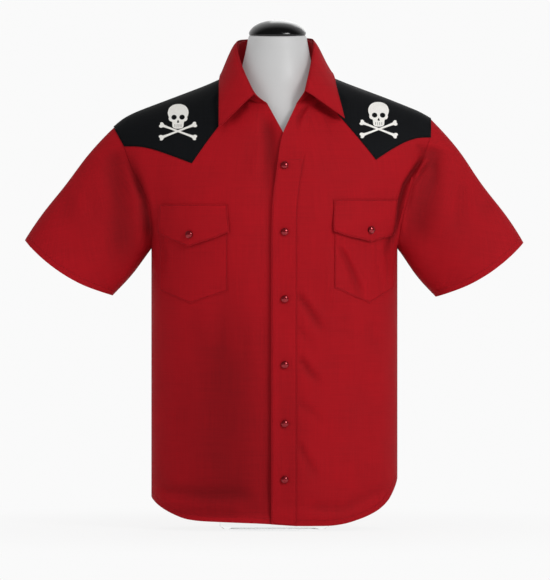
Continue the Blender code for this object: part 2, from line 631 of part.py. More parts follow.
def stand_sheet(seam):
    reach = np.concatenate([[0], np.cumsum(np.linalg.norm(np.diff(seam, axis=0), axis=1))])
    top = smooth_line(FOLD_LINE, reach / reach[-1])
    outward = unit((top - np.array(STAND_CENTRE)) * np.array([1, 1, 0]))
    top = top - outward * STAND_INSET - np.array([0, 0, STAND_DROP])
    points = np.array([seam + (top - seam) * step for step in STAND_STEPS])
    sheet = Sheet(points, STAND_CENTRE)
    sheet.draw_back(np.s_[0], np.s_[1], SEAM)
    return sheet


def leaf_sheet():
    fold = smooth_line(FOLD_LINE, LEAF_COLUMNS)
    edge = smooth_line(LEAF_EDGE, LEAF_COLUMNS)
    outward = unit((fold - np.array(LEAF_CENTRE)) * np.array([1, 1, 0]))
    rows = []
    for step in LEAF_STEPS:
        roll = LEAF_ROLL * math.sin(math.pi * math.sqrt(step))
        rows.append(fold + (edge - fold) * step + outward * roll)
    return Sheet(np.array(rows), LEAF_CENTRE)


# ---- snaps -------------------------------------------------------------------------------------
def find_spot(sheet, x, z, least_area=1e-12):
    """The point and the normal of the sheet's facet that lies behind one spot of the front view."""
    points = sheet.points
    rows, columns = points.shape[:2]
    for i in range(rows - 1):
        for j in range(columns - 1):
            start, across = points[i, j], points[i, j + 1]
            far, up = points[i + 1, j + 1], points[i + 1, j]
            for a, b, c in ((start, across, far), (start, far, up)):
                sides = np.array([b - a, c - a])[:, [0, 2]].T
                if abs(np.linalg.det(sides)) < least_area:
                    continue
                u, v = np.linalg.solve(sides, np.array([x, z]) - a[[0, 2]])
                if u >= 0 and v >= 0 and u + v <= 1:
                    normal = unit(np.cross(b - a, c - a))
                    return a + u * (b - a) + v * (c - a), normal * np.sign(normal @ sheet.normals[i, j])
    raise ValueError("no cloth at %.3f, %.3f" % (x, z))


def add_snap(name, sheet, x, z, height, material):
    """A domed snap cap that stands on what covers the sheet at one spot."""
    point, normal = find_spot(sheet, x, z)
    base = point + normal * height
    turn = Vector((0, 0, 1)).rotation_difference(Vector(normal)).to_matrix().to_4x4()
    move = Matrix.Translation(Vector(base)) @ turn
    rings = turned_rings(SNAP_PROFILE, (SNAP_RADIUS, SNAP_RADIUS, SNAP_HEIGHT), SNAP_SIDES, move)
    return add_rings(name, rings, material)


# ---- dress form --------------------------------------------------------------------------------
def form_depth(x, z, side):
    """Depth of the torso: a slimmer shirt section that narrows below the shoulders."""
    ridge = read(RIDGE, x) - FORM_RIDGE_GAP
    if z >= ridge or abs(x) > FORM_SHOULDER:
        return -1.0
    end = (1 - (abs(x) / FORM_SHOULDER) ** FORM_END_POWER) ** 0.5
    slim = float(np.interp(z, [ARMPIT, FORM_FULL_HEIGHT], [FORM_SHARE, 1]))
    depth = float(depth_at(x / slim, z + FORM_RIDGE_GAP, side, FORM_RIDGE_POWER))
    return depth * FORM_SHARE * end - FORM_SLACK * min(1, (ridge - z) / FORM_SLACK_REACH)


def torso_reach(direction, height, centre, halvings=36):
    """Distance from the axis to the torso's skin along one level direction."""
    low, high = 0.0, 0.30
    for _ in range(halvings):
        middle = (low + high) / 2
        x = centre[0] + direction[0] * middle
        y = centre[1] + direction[1] * middle
        inside = abs(y) <= form_depth(x, height, -1 if y < 0 else 1)
        low, high = (middle, high) if inside else (low, middle)
    return low


def neck_at(height):
    """Radius and centre of the neck at one height."""
    heights = [row.height for row in NECK_LEVELS]
    return [float(np.interp(height, heights, [row[i] for row in NECK_LEVELS])) for i in (1, 2, 3)]


def form_rings():
    lean_reach = FORM_LEVELS[-1] - NECK_LEAN_FROM
    rings = []
    for height in FORM_LEVELS:
        radius, x, y = neck_at(height)
        fade = np.clip((FORM_NECK_TOP - height) / (FORM_NECK_TOP - FORM_NECK_BASE), 0, 1)
        lean = math.tan(CAP_TILT) * np.clip((height - NECK_LEAN_FROM) / lean_reach, 0, 1)
        ring = []
        for angle in np.linspace(0, 2 * math.pi, FORM_SIDES, endpoint=False):
            direction = (math.cos(angle), math.sin(angle))
            torso = torso_reach(direction, height, (x, y)) * fade * (2 - fade)
            reach = (torso ** FORM_BLEND_POWER + radius ** FORM_BLEND_POWER) ** (1 / FORM_BLEND_POWER)
            depth = direction[1] * reach
            ring.append((x + direction[0] * reach, y + depth, height + lean * depth))
        rings.append(ring)
    return rings


def add_neck_cap(material):
    """A domed cap that leans forward with the top of the neck and lies on it."""
    x, y = neck_at(FORM_LEVELS[-1])[1:]
    move = Matrix.Translation((x, y, FORM_LEVELS[-1] + SEAM)) @ Matrix.Rotation(CAP_TILT, 4, "X")
    rings = turned_rings(CAP_PROFILE, (CAP_RADIUS, CAP_RADIUS, CAP_RISE), CAP_SIDES, move)
    return add_rings("neck_cap", rings, material)


def add_plinth(material):
    top = FORM_BOTTOM - SEAM
    rounded = 1 - PLINTH_ROUND / PLINTH_HALF_DEPTH
    profile = [Turn(rounded, 0), Turn(1, PLINTH_ROUND), Turn(1, top - PLINTH_ROUND), Turn(rounded, top)]
    size = (PLINTH_HALF_WIDTH, PLINTH_HALF_DEPTH, 1)
    return add_rings("form_plinth", turned_rings(profile, size, PLINTH_SIDES, Matrix()), material)


# ---- build -------------------------------------------------------------------------------------
def main():
    for item in list(bpy.data.objects):
        bpy.data.objects.remove(item)
    red = make_material(RED_COTTON)
    black = make_material(BLACK_COTTON)
    pearl = make_material(PEARL_SNAP)
    skin = make_material(FORM_SKIN)
    lacquer = make_material(CAP_LACQUER)
    acrylic = make_material(CLEAR_ACRYLIC)

    right = front_sheet(-1, RIGHT_COLUMNS, RIGHT_EDGE, RIGHT_ARMHOLE, RIGHT_NECK, RIGHT_YOKE, RIGHT_POCKET)
    left = front_sheet(1, LEFT_COLUMNS, LEFT_EDGE, LEFT_ARMHOLE, LEFT_NECK, LEFT_YOKE, LEFT_POCKET)
    back, right_count, left_count = back_sheet(right, left)
    seam = neckline(right, left, back, right_count, left_count)
    right_sleeve, right_half = sleeve_sheet(right, back, 0, RIGHT_CUFF)
    left_sleeve, left_half = sleeve_sheet(left, back, -1, LEFT_CUFF)

    for front, column in ((right, 0), (left, -1)):
        meet(front, np.s_[:, -1], back, np.s_[:, column])
    right_shoulder = (-np.ones(right_count, int), np.arange(right_count)[::-1])
    meet(right, np.s_[-1, -right_count:], back, right_shoulder)
    meet(left, np.s_[-1, -left_count:], back, np.s_[-1, -left_count:])
    settle_sleeve(right_sleeve, right_half, right, back, 0)
    settle_sleeve(left_sleeve, left_half, left, back, -1)
    for panel in (right, left, back):
        panel.draw_back(np.s_[-1], np.s_[-2], PANEL_SEAM)
        panel.draw_back(np.s_[:, -1], np.s_[:, -2], PANEL_SEAM)
    back.draw_back(np.s_[:, 0], np.s_[:, 1], PANEL_SEAM)

    add_wall("front_right", right, -CLOTH, 0, red)
    add_wall("front_left", left, -CLOTH, 0, red)
    add_wall("back", back, -CLOTH, 0, red)
    add_wall("sleeve_right", right_sleeve, -CLOTH, 0, red)
    add_wall("sleeve_left", left_sleeve, -CLOTH, 0, red)

    on_panel = (SEAM, SEAM + TRIM)
    on_trim = (2 * SEAM + TRIM, 2 * SEAM + 2 * TRIM)
    add_wall("yoke_front_right", right, *on_panel, black, np.s_[YOKE_ROW:], RIGHT_YOKE_COLUMNS)
    add_wall("yoke_front_left", left, *on_panel, black, np.s_[YOKE_ROW:], LEFT_YOKE_COLUMNS)
    add_wall("yoke_back", back, *on_panel, black, np.s_[YOKE_ROW:])
    add_wall("placket", left, *on_panel, red, np.s_[:], PLACKET_COLUMNS)
    for name, sheet, columns, pocket in (("right", right, RIGHT_POCKET_COLUMNS, RIGHT_POCKET),
                                         ("left", left, LEFT_POCKET_COLUMNS, LEFT_POCKET)):
        add_wall("pocket_" + name, sheet, *on_panel, red, np.s_[POCKET_ROW:TOP_ROW + 1], columns)
        add_wall("flap_" + name, sheet, *on_trim, red, np.s_[FLAP_ROW:TOP_ROW + 1], columns)
        add_snap("snap_flap_" + name, sheet, pocket.axis, pocket.snap, on_trim[1] + SNAP_GAP, pearl)
    for number, height in enumerate(PLACKET_SNAPS, 1):
        add_snap("snap_front_%d" % number, left, SNAP_LINE, height, on_panel[1] + SNAP_GAP, pearl)

    add_wall("collar_stand", stand_sheet(seam), -CLOTH, 0, red)
    add_wall("collar_leaf", leaf_sheet(), -CLOTH, 0, red)

    add_rings("form_torso", form_rings(), skin)
    add_neck_cap(lacquer)
    add_plinth(acrylic)


main()
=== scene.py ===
import math

import bmesh
import bpy
import numpy as np
from mathutils import Matrix, Vector, noise
from mathutils.bvhtree import BVHTree


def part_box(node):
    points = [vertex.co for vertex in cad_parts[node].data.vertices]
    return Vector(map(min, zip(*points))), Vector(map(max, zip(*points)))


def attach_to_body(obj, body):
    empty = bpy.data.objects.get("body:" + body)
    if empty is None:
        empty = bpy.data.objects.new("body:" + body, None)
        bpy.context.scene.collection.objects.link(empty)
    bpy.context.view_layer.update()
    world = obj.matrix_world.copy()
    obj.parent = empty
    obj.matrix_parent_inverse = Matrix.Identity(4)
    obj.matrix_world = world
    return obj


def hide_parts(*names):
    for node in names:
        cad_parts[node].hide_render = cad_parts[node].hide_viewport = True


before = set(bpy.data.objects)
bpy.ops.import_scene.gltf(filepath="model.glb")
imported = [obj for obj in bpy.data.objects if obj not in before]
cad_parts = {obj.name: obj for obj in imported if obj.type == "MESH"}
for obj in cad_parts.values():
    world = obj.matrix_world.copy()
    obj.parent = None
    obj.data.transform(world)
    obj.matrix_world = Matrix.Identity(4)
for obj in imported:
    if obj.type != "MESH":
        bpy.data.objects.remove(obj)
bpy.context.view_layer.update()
print("frame loaded")


# helpers

def hexColour(text):
    parts = [int(text[i:i + 2], 16) / 255 for i in (1, 3, 5)]
    return tuple(p / 12.92 if p <= 0.04045 else ((p + 0.055) / 1.055) ** 2.4 for p in parts) + (1.0,)


def newMaterial(name):
    material = bpy.data.materials.new(name)
    material.use_nodes = True
    material.node_tree.nodes.clear()
    return material


def addNode(material, kind, values, output=0):
    # values: the node's own settings, and its inputs as a number, a colour or the output that feeds each
    node = material.node_tree.nodes.new("ShaderNode" + kind)
    for key, value in values.items():
        if isinstance(key, str) and key not in node.inputs:
            setattr(node, key, value)
        elif isinstance(value, bpy.types.NodeSocket):
            material.node_tree.links.new(value, node.inputs[key])
        else:
            node.inputs[key].default_value = value
    return node.outputs[output] if len(node.outputs) else None


def addMath(m, operation, *values, clamp=False):
    return addNode(m, "Math", {"operation": operation, "use_clamp": clamp, **dict(enumerate(values))})


def addNoise(m, place, scale, detail=2.0, **more):
    return addNode(m, "TexNoise", {"Vector": place, "Scale": scale, "Detail": detail, **more})


def addWave(m, place, way, spacing, distortion, **more):
    # bands of light and dark, this many metres apart
    return addNode(m, "TexWave", {"bands_direction": way, "Scale": 2 * math.pi / 20 / spacing,
                                  "Distortion": distortion, "Vector": place, **more}, 1)


def addRange(m, value, toMin, toMax, fromMin=0.0, fromMax=1.0, smooth=False):
    return addNode(m, "MapRange", {"interpolation_type": "SMOOTHSTEP" if smooth else "LINEAR", "Value": value,
                                   "From Min": fromMin, "From Max": fromMax, "To Min": toMin, "To Max": toMax})


def addMix(m, share, first, second):
    first, second = (hexColour(c) if isinstance(c, str) else c for c in (first, second))
    return addNode(m, "Mix", {"data_type": "RGBA", 0: share, 6: first, 7: second}, 2)


def addBump(m, height, strength, distance, **more):
    return addNode(m, "Bump", {"Height": height, "Strength": strength, "Distance": distance, **more})


def addSurface(m, values):
    addNode(m, "OutputMaterial", {"Surface": addNode(m, "BsdfPrincipled", values)})
    return m


def pickNone():
    bpy.ops.object.select_all(action="DESELECT")


def activate(piece):
    pickNone()
    bpy.context.view_layer.objects.active = piece
    piece.select_set(True)


def applyModifier(piece, kind, **settings):
    activate(piece)
    modifier = piece.modifiers.new(kind.lower(), kind)
    for key, value in settings.items():
        setattr(modifier, key, value)
    bpy.ops.object.modifier_apply(modifier=modifier.name)


def setMode(mode):
    bpy.ops.object.mode_set(mode=mode)


def smoothShade(piece, angle=50):
    activate(piece)
    bpy.ops.object.shade_smooth_by_angle(angle=math.radians(angle))


def makeObject(name, mesh):
    piece = bpy.data.objects.new(name, mesh)
    bpy.context.scene.collection.objects.link(piece)
    return piece


def makeFromWork(name, work):
    mesh = bpy.data.meshes.new(name)
    work.to_mesh(mesh)
    work.free()
    mesh.materials.clear()
    return makeObject(name, mesh)


def weldedSolid(node, near=0.00002):
    work = bmesh.new()
    work.from_mesh(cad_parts[node].data)
    bmesh.ops.remove_doubles(work, verts=work.verts, dist=near)
    return work


def readValues(items, field, width=1, kind=float):
    values = np.empty(len(items) * width, kind)
    items.foreach_get(field, values)
    return values.reshape(-1, width) if width > 1 else values


def getPoints(piece):
    return readValues(piece.data.vertices, "co", 3)


def setPoints(piece, points):
    piece.data.vertices.foreach_set("co", points.ravel())
    piece.data.update()


def getNormals(piece):
    return readValues(piece.data.vertex_normals, "vector", 3, np.float32).astype(float)


def setValues(piece, name, values):
    attribute = piece.data.attributes.new(name, "FLOAT", "POINT")
    attribute.data.foreach_set("value", np.asarray(values, np.float32))


def smoothStep(values, low, high):
    share = np.clip((np.asarray(values, float) - low) / (high - low), 0, 1)
    return share * share * (3 - 2 * share)


def bell(values, middle, over):
    return np.exp(-((values - middle) / over) ** 2)


def treeOf(piece):
    return BVHTree.FromPolygons([v.co.copy() for v in piece.data.vertices],
                                [tuple(p.vertices) for p in piece.data.polygons])


def frontHit(tree, x, z):
    # where a piece is met from ahead, and its normal there
    return tree.ray_cast(Vector((x, -1.0, z)), Vector((0, 1, 0)))[:2]


# camera: level, far off, through a long lens

cameraSettings = {"aim": (0.001, 0.0, 0.3934), "distance": 8.0, "viewHeight": 0.957, "sensor": 36.0}


def makeCamera(settings):
    x, y, z = settings["aim"]
    bpy.ops.object.camera_add(location=(x, y - settings["distance"], z), rotation=(math.pi / 2, 0, 0))
    camera = bpy.context.object
    camera.data.sensor_width = settings["sensor"]
    camera.data.lens = settings["sensor"] * settings["distance"] / settings["viewHeight"]
    camera.data.clip_end = 40
    bpy.context.scene.camera = camera


makeCamera(cameraSettings)
print("camera set")


# finishes

# the weave, m: a poplin thread is 0.25 mm, drawn coarser so it shows
weave = {"thread": 0.0009, "slub": 0.0016, "patch": 0.055}
# sewn lines, m: how far in from a plain edge and from a turned hem they run, and half the width of their groove
sewing = {"edge": 0.0016, "hem": 0.0095, "groove": 0.0011}


def cottonPoplin(name, deep, bright, worn):
    # plain-woven cotton: matt, faintly streaked along both threads, paler where an edge has rubbed;
    # painted shade darkens its colour along a sewn groove and down in a crease
    m = newMaterial(name)
    uv = addNode(m, "UVMap", {"uv_map": "cloth"})
    edge, hem, crease = (addNode(m, "Attribute", {"attribute_name": a}, "Fac") for a in ("edge", "hem", "crease"))
    threads = [addWave(m, uv, way, weave["thread"], 0.5, Detail=1.0, **{"Detail Scale": 0.4}) for way in "XY"]
    cloth = addMath(m, "MULTIPLY", *threads)
    slubs = [addNoise(m, addNode(m, "Mapping", {"Scale": scale, "Vector": uv}), 1.0)
             for scale in ((1 / weave["slub"], 14.0, 1.0), (14.0, 1 / weave["slub"], 1.0))]
    patch = addNoise(m, uv, 1 / weave["patch"], 3.0)
    tone = addMath(m, "MULTIPLY_ADD", addMath(m, "ADD", *slubs), 0.7, -0.2)
    tone = addMath(m, "MULTIPLY_ADD", patch, 0.5, tone)
    tone = addMath(m, "MULTIPLY_ADD", cloth, 0.25, tone, clamp=True)
    colour = addMix(m, addMath(m, "SUBTRACT", tone, 0.25, clamp=True), deep, bright)
    colour = addMix(m, addRange(m, edge, 0.2, 0.0, 0.0002, 0.0009, smooth=True), colour, worn)
    # painted shade along each sewn groove, fainter along a hem's; the same grooves also dent the bump
    grooves = []
    for source, line in ((edge, sewing["edge"]), (hem, sewing["hem"])):
        away = addMath(m, "ABSOLUTE", addMath(m, "SUBTRACT", source, line))
        grooves.append(addRange(m, away, 1.0, 0.0, 0.0, sewing["groove"], smooth=True))
    sewn = addMath(m, "MAXIMUM", grooves[0], addMath(m, "MULTIPLY", grooves[1], 0.2))
    # painted shade: the colour darkens with the depth of a crease, down to under half
    creaseShade = addRange(m, crease, 1.0, 0.46, 0.0, -0.01)
    # painted shade of creases and sewn grooves together, which scales the cloth's colour
    paintedShade = addMath(m, "MULTIPLY", creaseShade, addMath(m, "MULTIPLY_ADD", sewn, -0.06, 1.0))
    colour = addNode(m, "VectorMath", {"operation": "SCALE", 0: colour, "Scale": paintedShade})
    ripple = addNoise(m, addNode(m, "Mapping", {"Scale": (150.0, 26.0, 1.0), "Vector": uv}), 1.0)
    pucker = addMath(m, "MULTIPLY", ripple, addRange(m, hem, 1.0, 0.0, 0.008, 0.034, smooth=True))
    bump = addBump(m, addMath(m, "SUBTRACT", pucker, sewn), 1.0, 0.0004)
    bump = addBump(m, addNoise(m, uv, 75.0, 3.0), 0.5, 0.0006, Normal=bump)
    bump = addBump(m, cloth, 0.6, 0.0001, Normal=bump)
    return addSurface(m, {"IOR": 1.5, "Specular IOR Level": 0.12, "Base Color": colour,
                          "Roughness": addRange(m, patch, 0.7, 0.82), "Normal": bump})


def spunThread(name, deep, bright):
    # spun polyester sewing thread: a tight twist, with a painted highlight on each turn
    m = newMaterial(name)
    place = addNode(m, "TexCoord", {}, "Object")
    twist = addWave(m, place, "DIAGONAL", 0.0006, 1.0)
    fuzz = addNoise(m, place, 900.0)
    # painted highlight: the colour is paler on each turn of the twist
    tone = addMath(m, "MULTIPLY", addMath(m, "MULTIPLY", twist, fuzz), 1.7, clamp=True)
    return addSurface(m, {"IOR": 1.5, "Specular IOR Level": 0.15, "Base Color": addMix(m, tone, deep, bright),
                          "Roughness": addRange(m, fuzz, 0.45, 0.65), "Normal": addBump(m, twist, 0.5, 0.0001)})


def satinStitch(name, deep, bright):
    # rayon machine embroidery: close parallel threads with a soft silky light, a little grey between them
    m = newMaterial(name)
    uv = addNode(m, "UVMap", {"uv_map": "cloth"})
    turned = addNode(m, "Mapping", {"Rotation": (0.0, 0.0, math.radians(35)), "Vector": uv})
    rows = addWave(m, turned, "Y", 0.0008, 0.8, Detail=1.0)
    patch = addNoise(m, uv, 160.0)
    tone = addMath(m, "MULTIPLY_ADD", patch, 0.4, addMath(m, "MULTIPLY_ADD", rows, 0.6, 0.15), clamp=True)
    return addSurface(m, {"IOR": 1.5, "Sheen Weight": 0.15, "Sheen Roughness": 0.3,
                          "Base Color": addMix(m, tone, deep, bright), "Roughness": addRange(m, patch, 0.38, 0.55),
                          "Normal": addBump(m, rows, 0.6, 0.00015)})


def mouldedFinish(name, deep, bright, scale, rough, grain, glow=0.0, metal=0.0, coat=0.0):
    # a cast or sprayed surface: slow change of tone, fine orange-peel, tiny scuffs in the gloss;
    # the glow is painted light: the surface gives off a little of its own colour, so its shadows stay pale
    m = newMaterial(name)
    place = addNode(m, "TexCoord", {}, "Object")
    colour = addMix(m, addNoise(m, place, scale, 3.0, Distortion=0.6), deep, bright)
    scuff = addNoise(m, place, scale * 4, 4.0, Roughness=0.7)
    return addSurface(m, {"IOR": 1.5, "Metallic": metal, "Coat Weight": coat, "Coat Roughness": 0.14,
                          "Base Color": colour, "Emission Strength": glow, "Emission Color": colour,
                          "Roughness": addRange(m, scuff, rough * 0.8, rough * 1.35, 0.3, 0.75),
                          "Normal": addBump(m, addNoise(m, place, 1 / grain), 0.12, 0.0002)})


def clearAcrylic(name, tint, edge):
    # clear acrylic with a faint polishing haze; it hardly bends light, so the foot doesn't draw the dark inside
    # of the shirt below the hem
    m = newMaterial(name)
    place = addNode(m, "TexCoord", {}, "Object")
    haze = addNoise(m, place, 220.0, 3.0)
    return addSurface(m, {"IOR": 1.01, "Transmission Weight": 1.0,
                          "Base Color": addMix(m, addNoise(m, place, 14.0, 3.0), tint, edge),
                          "Roughness": addRange(m, haze, 0.02, 0.09, 0.35, 0.7)})


redPoplin = cottonPoplin("red cotton poplin", "#8a0712", "#a90d19", "#ad1722")
blackPoplin = cottonPoplin("black cotton poplin", "#07080a", "#111316", "#17191c")
redThread = spunThread("red sewing thread", "#8d0d18", "#ab1320")
blackThread = spunThread("black sewing thread", "#050506", "#141517")
whiteStitch = satinStitch("white satin stitch", "#cfccc6", "#f3f1ec")
pearlResin = mouldedFinish("red pearl resin", "#740611", "#b21c2a", 260.0, 0.24, 0.0012, metal=0.7, coat=0.6)
snapMetal = mouldedFinish("red enamelled brass", "#6c0610", "#860b16", 200.0, 0.3, 0.0008, metal=0.5)
# the skin's glow is painted light, an emission that keeps the form's shadows pale
formSkin = mouldedFinish("sprayed glass-fibre skin", "#a4a4a4", "#adadad", 9.0, 0.5, 0.0022, glow=0.36)
capLacquer = mouldedFinish("black lacquer", "#050505", "#0c0c0c", 22.0, 0.18, 0.003)
plinthAcrylic = clearAcrylic("clear cast acrylic", "#f6faf9", "#fdfefe")
print("finishes made")


# cloth: each piece starts as the outer face of its solid, is made fine, creased, and given its thickness

clothSettings = {
    "thickness": 0.0009, "patchThickness": 0.0006, "lift": 0.001, "rimAngle": 52, "seamCalm": 0.016,
    "swellSize": 0.075, "swell": 0.0011, "sideFade": (-0.012, 0.022),
    "flushOver": 0.008, "springOver": (0.008, 0.055), "flareOver": (0.004, 0.045),
    "stitchLength": 0.0022, "stitchPitch": 0.0031, "stitchWidth": 0.00042,
}

# a crease's depth also darkens the cloth's colour in the finish: painted shade
# creases: path of x, z, x, z and so on, half width and depth, all mm; soft share of its length at the start and at
# the end; share of the depth thrown up as a ridge beside it (below zero: on the other side)
frontCreases = [
    ([36, 390, 53, 366, 68, 343, 86, 322], 6, -4.2, 0.15, 0.4, 0.5),
    ([37, 336, 51, 316, 72, 292], 7, -1.8, 0.1, 0.6, 0.4),
    ([38, 286, 56, 262, 80, 236], 6, -3.8, 0.15, 0.45, 0.5),
    ([37, 214, 60, 196, 92, 170], 7, -1.8, 0.1, 0.6, 0.5),
    ([38, 146, 50, 122, 64, 98, 80, 78], 7, -2.6, 0.1, 0.5, 0.4),
    ([88, 480, 92, 405, 112, 345], 13, 2.2, 0.4, 0.4, 0.0),
    ([102, 470, 115, 446, 126, 423, 136, 397, 144, 368], 6, -3.8, 0.2, 0.35, 0.45),
    ([110, 385, 118, 330, 134, 292], 10, -1.2, 0.4, 0.5, 0.3),
    ([156, 352, 157, 292], 8, -1.1, 0.4, 0.5, 0.3),
    ([188, 500, 183, 452, 187, 398], 6, -2.6, 0.3, 0.5, -0.5),
    ([172, 470, 170, 420, 176, 372], 7, -1.2, 0.4, 0.5, -0.4),
    ([56, 698, 47, 687, 40, 674, 36, 650], 4, -3.6, 0.2, 0.5, 0.4),
    ([64, 704, 84, 691, 104, 671], 7, -5.0, 0.2, 0.25, 0.0),
    ([-44, 702, -60, 687, -78, 667], 7, -4.5, 0.2, 0.3, 0.0),
    ([-197, 86, -176, 66, -120, 62, -60, 62, -22, 52], 11, -2.6, 0.2, 0.2, -0.6),
    ([40, 42, 78, 38, 112, 37, 140, 50, 168, 64, 195, 82], 9, -2.2, 0.2, 0.2, -0.6),
    ([78, 690, 86, 664, 98, 640], 6, -1.0, 0.3, 0.5, 0.4),
    ([-10, 590, -11, 330, -10, 40], 6, -1.6, 0.05, 0.05, 0.3),
    ([-132, 378, -128, 290], 14, -1.1, 0.45, 0.5, 0.3),
    ([-84, 384, -90, 246], 12, -1.0, 0.45, 0.5, -0.3),
    ([-48, 352, -46, 236], 9, -0.9, 0.4, 0.5, 0.3),
    ([-150, 262, -158, 118], 17, -0.9, 0.5, 0.5, 0.3),
    ([-190, 500, -182, 455, -186, 404], 7, -2.0, 0.3, 0.5, 0.4),
    ([-72, 682, -84, 656, -92, 640], 6, -0.9, 0.3, 0.5, -0.4),
    ([-30, 650, -44, 600, -60, 560], 10, -1.0, 0.3, 0.5, 0.3),
    ([-264, 634, -260, 590, -256, 542, -252, 500, -248, 452, -252, 404], 24, -6.2, 0.12, 0.35, 0.0),
    ([-304, 604, -298, 540, -290, 470], 12, -1.2, 0.4, 0.5, 0.3),
    ([-344, 566, -334, 488], 13, -1.8, 0.4, 0.5, 0.3),
    ([262, 634, 254, 580, 246, 540, 238, 498, 226, 452], 24, -5.8, 0.08, 0.3, 0.0),
    ([262, 616, 264, 580, 258, 540], 7, -2.0, 0.3, 0.5, -0.4),
    ([262, 612, 242, 588, 228, 566, 220, 533, 211, 503], 3.5, -3.4, 0.2, 0.4, 0.0),
    ([334, 596, 322, 510, 304, 436], 34, -1.5, 0.3, 0.2, 0.0),
    ([-338, 590, -322, 500, -300, 436], 30, -0.9, 0.3, 0.2, 0.0),
    ([22, 310, 20, 190, 22, 30], 26, -1.9, 0.4, 0.05, 0.0),
    ([252, 632, 239, 604, 216, 566, 207, 533, 200, 500, 192, 474, 185, 440], 5, -10.0, 0.25, 0.3, 0.2),
    ([-250, 622, -230, 583, -217, 542, -210, 500, -202, 458], 8, -8.6, 0.4, 0.25, 0.0),
    ([183, 462, 180, 430, 181, 386], 5, 2.0, 0.3, 0.5, 0.0),
    ([310, 600, 306, 540, 296, 462], 12, -1.5, 0.4, 0.5, 0.3),
    ([356, 560, 352, 500], 12, -1.0, 0.4, 0.5, 0.3),
    ([232, 634, 241, 626, 252, 621], 3.5, -2.4, 0.3, 0.5, 0.4),
    ([106, 718, 112, 702, 113, 686], 4, -1.6, 0.3, 0.5, 0.4),
    ([-92, 716, -98, 700, -98, 682], 4, -1.4, 0.3, 0.5, -0.4),
]
frontRightCreases = [
    ([-24, 684, -12, 662, -7, 636, -6, 598, -8, 540], 13, -6.8, 0.25, 0.5, 0.0),
    ([-70, 440, -84, 250, -82, 20], 68, -6.4, 0.5, 0.02, 0.0),
]
backCreases = [
    ([-70, 600, -62, 420, -74, 90], 17, -3.0, 0.15, 0.7, 0.5),
    ([62, 602, 72, 440, 58, 120], 16, -2.8, 0.15, 0.7, -0.5),
    ([-10, 574, 6, 380, -8, 60], 20, -2.0, 0.3, 0.6, 0.4),
    ([-112, 560, -118, 400, -112, 236], 15, -1.8, 0.3, 0.6, -0.4),
    ([112, 556, 122, 390, 110, 210], 15, -2.0, 0.3, 0.6, 0.4),
    ([168, 372, 120, 330, 70, 306], 11, -1.9, 0.4, 0.6, 0.4),
    ([-176, 350, -126, 316, -84, 296], 11, -1.8, 0.4, 0.6, 0.4),
    ([150, 250, 138, 170, 140, 90], 16, -1.5, 0.4, 0.5, 0.3),
    ([-150, 240, -140, 160, -138, 80], 15, -1.5, 0.4, 0.5, -0.3),
    ([184, 570, 168, 510, 160, 430], 10, -2.8, 0.2, 0.6, 0.4),
    ([-184, 566, -170, 500, -164, 420], 10, -2.8, 0.2, 0.6, -0.4),
    ([-240, 620, -226, 560, -214, 496], 8, -2.6, 0.3, 0.5, 0.4),
    ([-300, 600, -290, 520], 12, -1.6, 0.4, 0.5, -0.3),
    ([236, 624, 228, 556, 214, 492], 8, -2.4, 0.3, 0.5, 0.4),
    ([304, 596, 292, 512], 12, -1.6, 0.4, 0.5, -0.3),
]
creases = {"front": frontCreases, "front_right": frontRightCreases, "back": backCreases}


def creaseHeight(points, names):
    # height in metres that the creases of these names give each point, from its x and z alone
    flat = points[:, [0, 2]] * 1000
    total = np.zeros(len(points))
    for path, width, depth, softStart, softEnd, ridge in sum((creases.get(name, []) for name in names), []):
        path = np.array(path, float).reshape(-1, 2)
        lengths = np.linalg.norm(np.diff(path, axis=0), axis=1)
        starts = np.concatenate([[0], np.cumsum(lengths)])
        best, offset, along = np.full(len(points), 1e9), np.zeros(len(points)), np.zeros(len(points))
        for k, length in enumerate(lengths):
            step = (path[k + 1] - path[k]) / length
            rel = flat - path[k]
            t = np.clip(rel @ step, 0, length)
            gap = rel - t[:, None] * step
            away = np.linalg.norm(gap, axis=1)
            nearer = away < best
            best = np.where(nearer, away, best)
            offset = np.where(nearer, np.copysign(away, step[0] * rel[:, 1] - step[1] * rel[:, 0]), offset)
            along = np.where(nearer, (starts[k] + t) / starts[-1], along)
        soft = smoothStep(along, 0, softStart) * smoothStep(1 - along, 0, softEnd)
        wide = width * (0.75 + 0.5 * along)
        rise = abs(ridge) * bell(offset, np.copysign(1.7, ridge) * wide, wide)
        total += depth * 0.001 * soft * (bell(offset, 0, wide) - rise)
    return total


def softSwell(points, size, height, seed):
    # slow hand-smoothed unevenness, so no panel is quite true
    shift = Vector((seed * 3.1, seed * 1.7, seed * 2.3))
    return np.array([noise.noise(Vector(p) / size + shift) for p in points]) * height


# how far outwards a crease leans where the body turns into its sides, and between which places aside, m
sideLean = {"share": 0.45, "comes": (0.1, 0.19), "goes": (0.205, 0.26)}


def creaseWay(points):
    # the way a crease stands out, from the point's place alone
    side = np.abs(points[:, 0])
    out = sideLean["share"] * smoothStep(side, *sideLean["comes"]) * (1 - smoothStep(side, *sideLean["goes"]))
    way = np.stack([np.sign(points[:, 0]) * out, np.ones(len(points)), np.zeros(len(points))], axis=1)
    return way / np.linalg.norm(way, axis=1, keepdims=True)


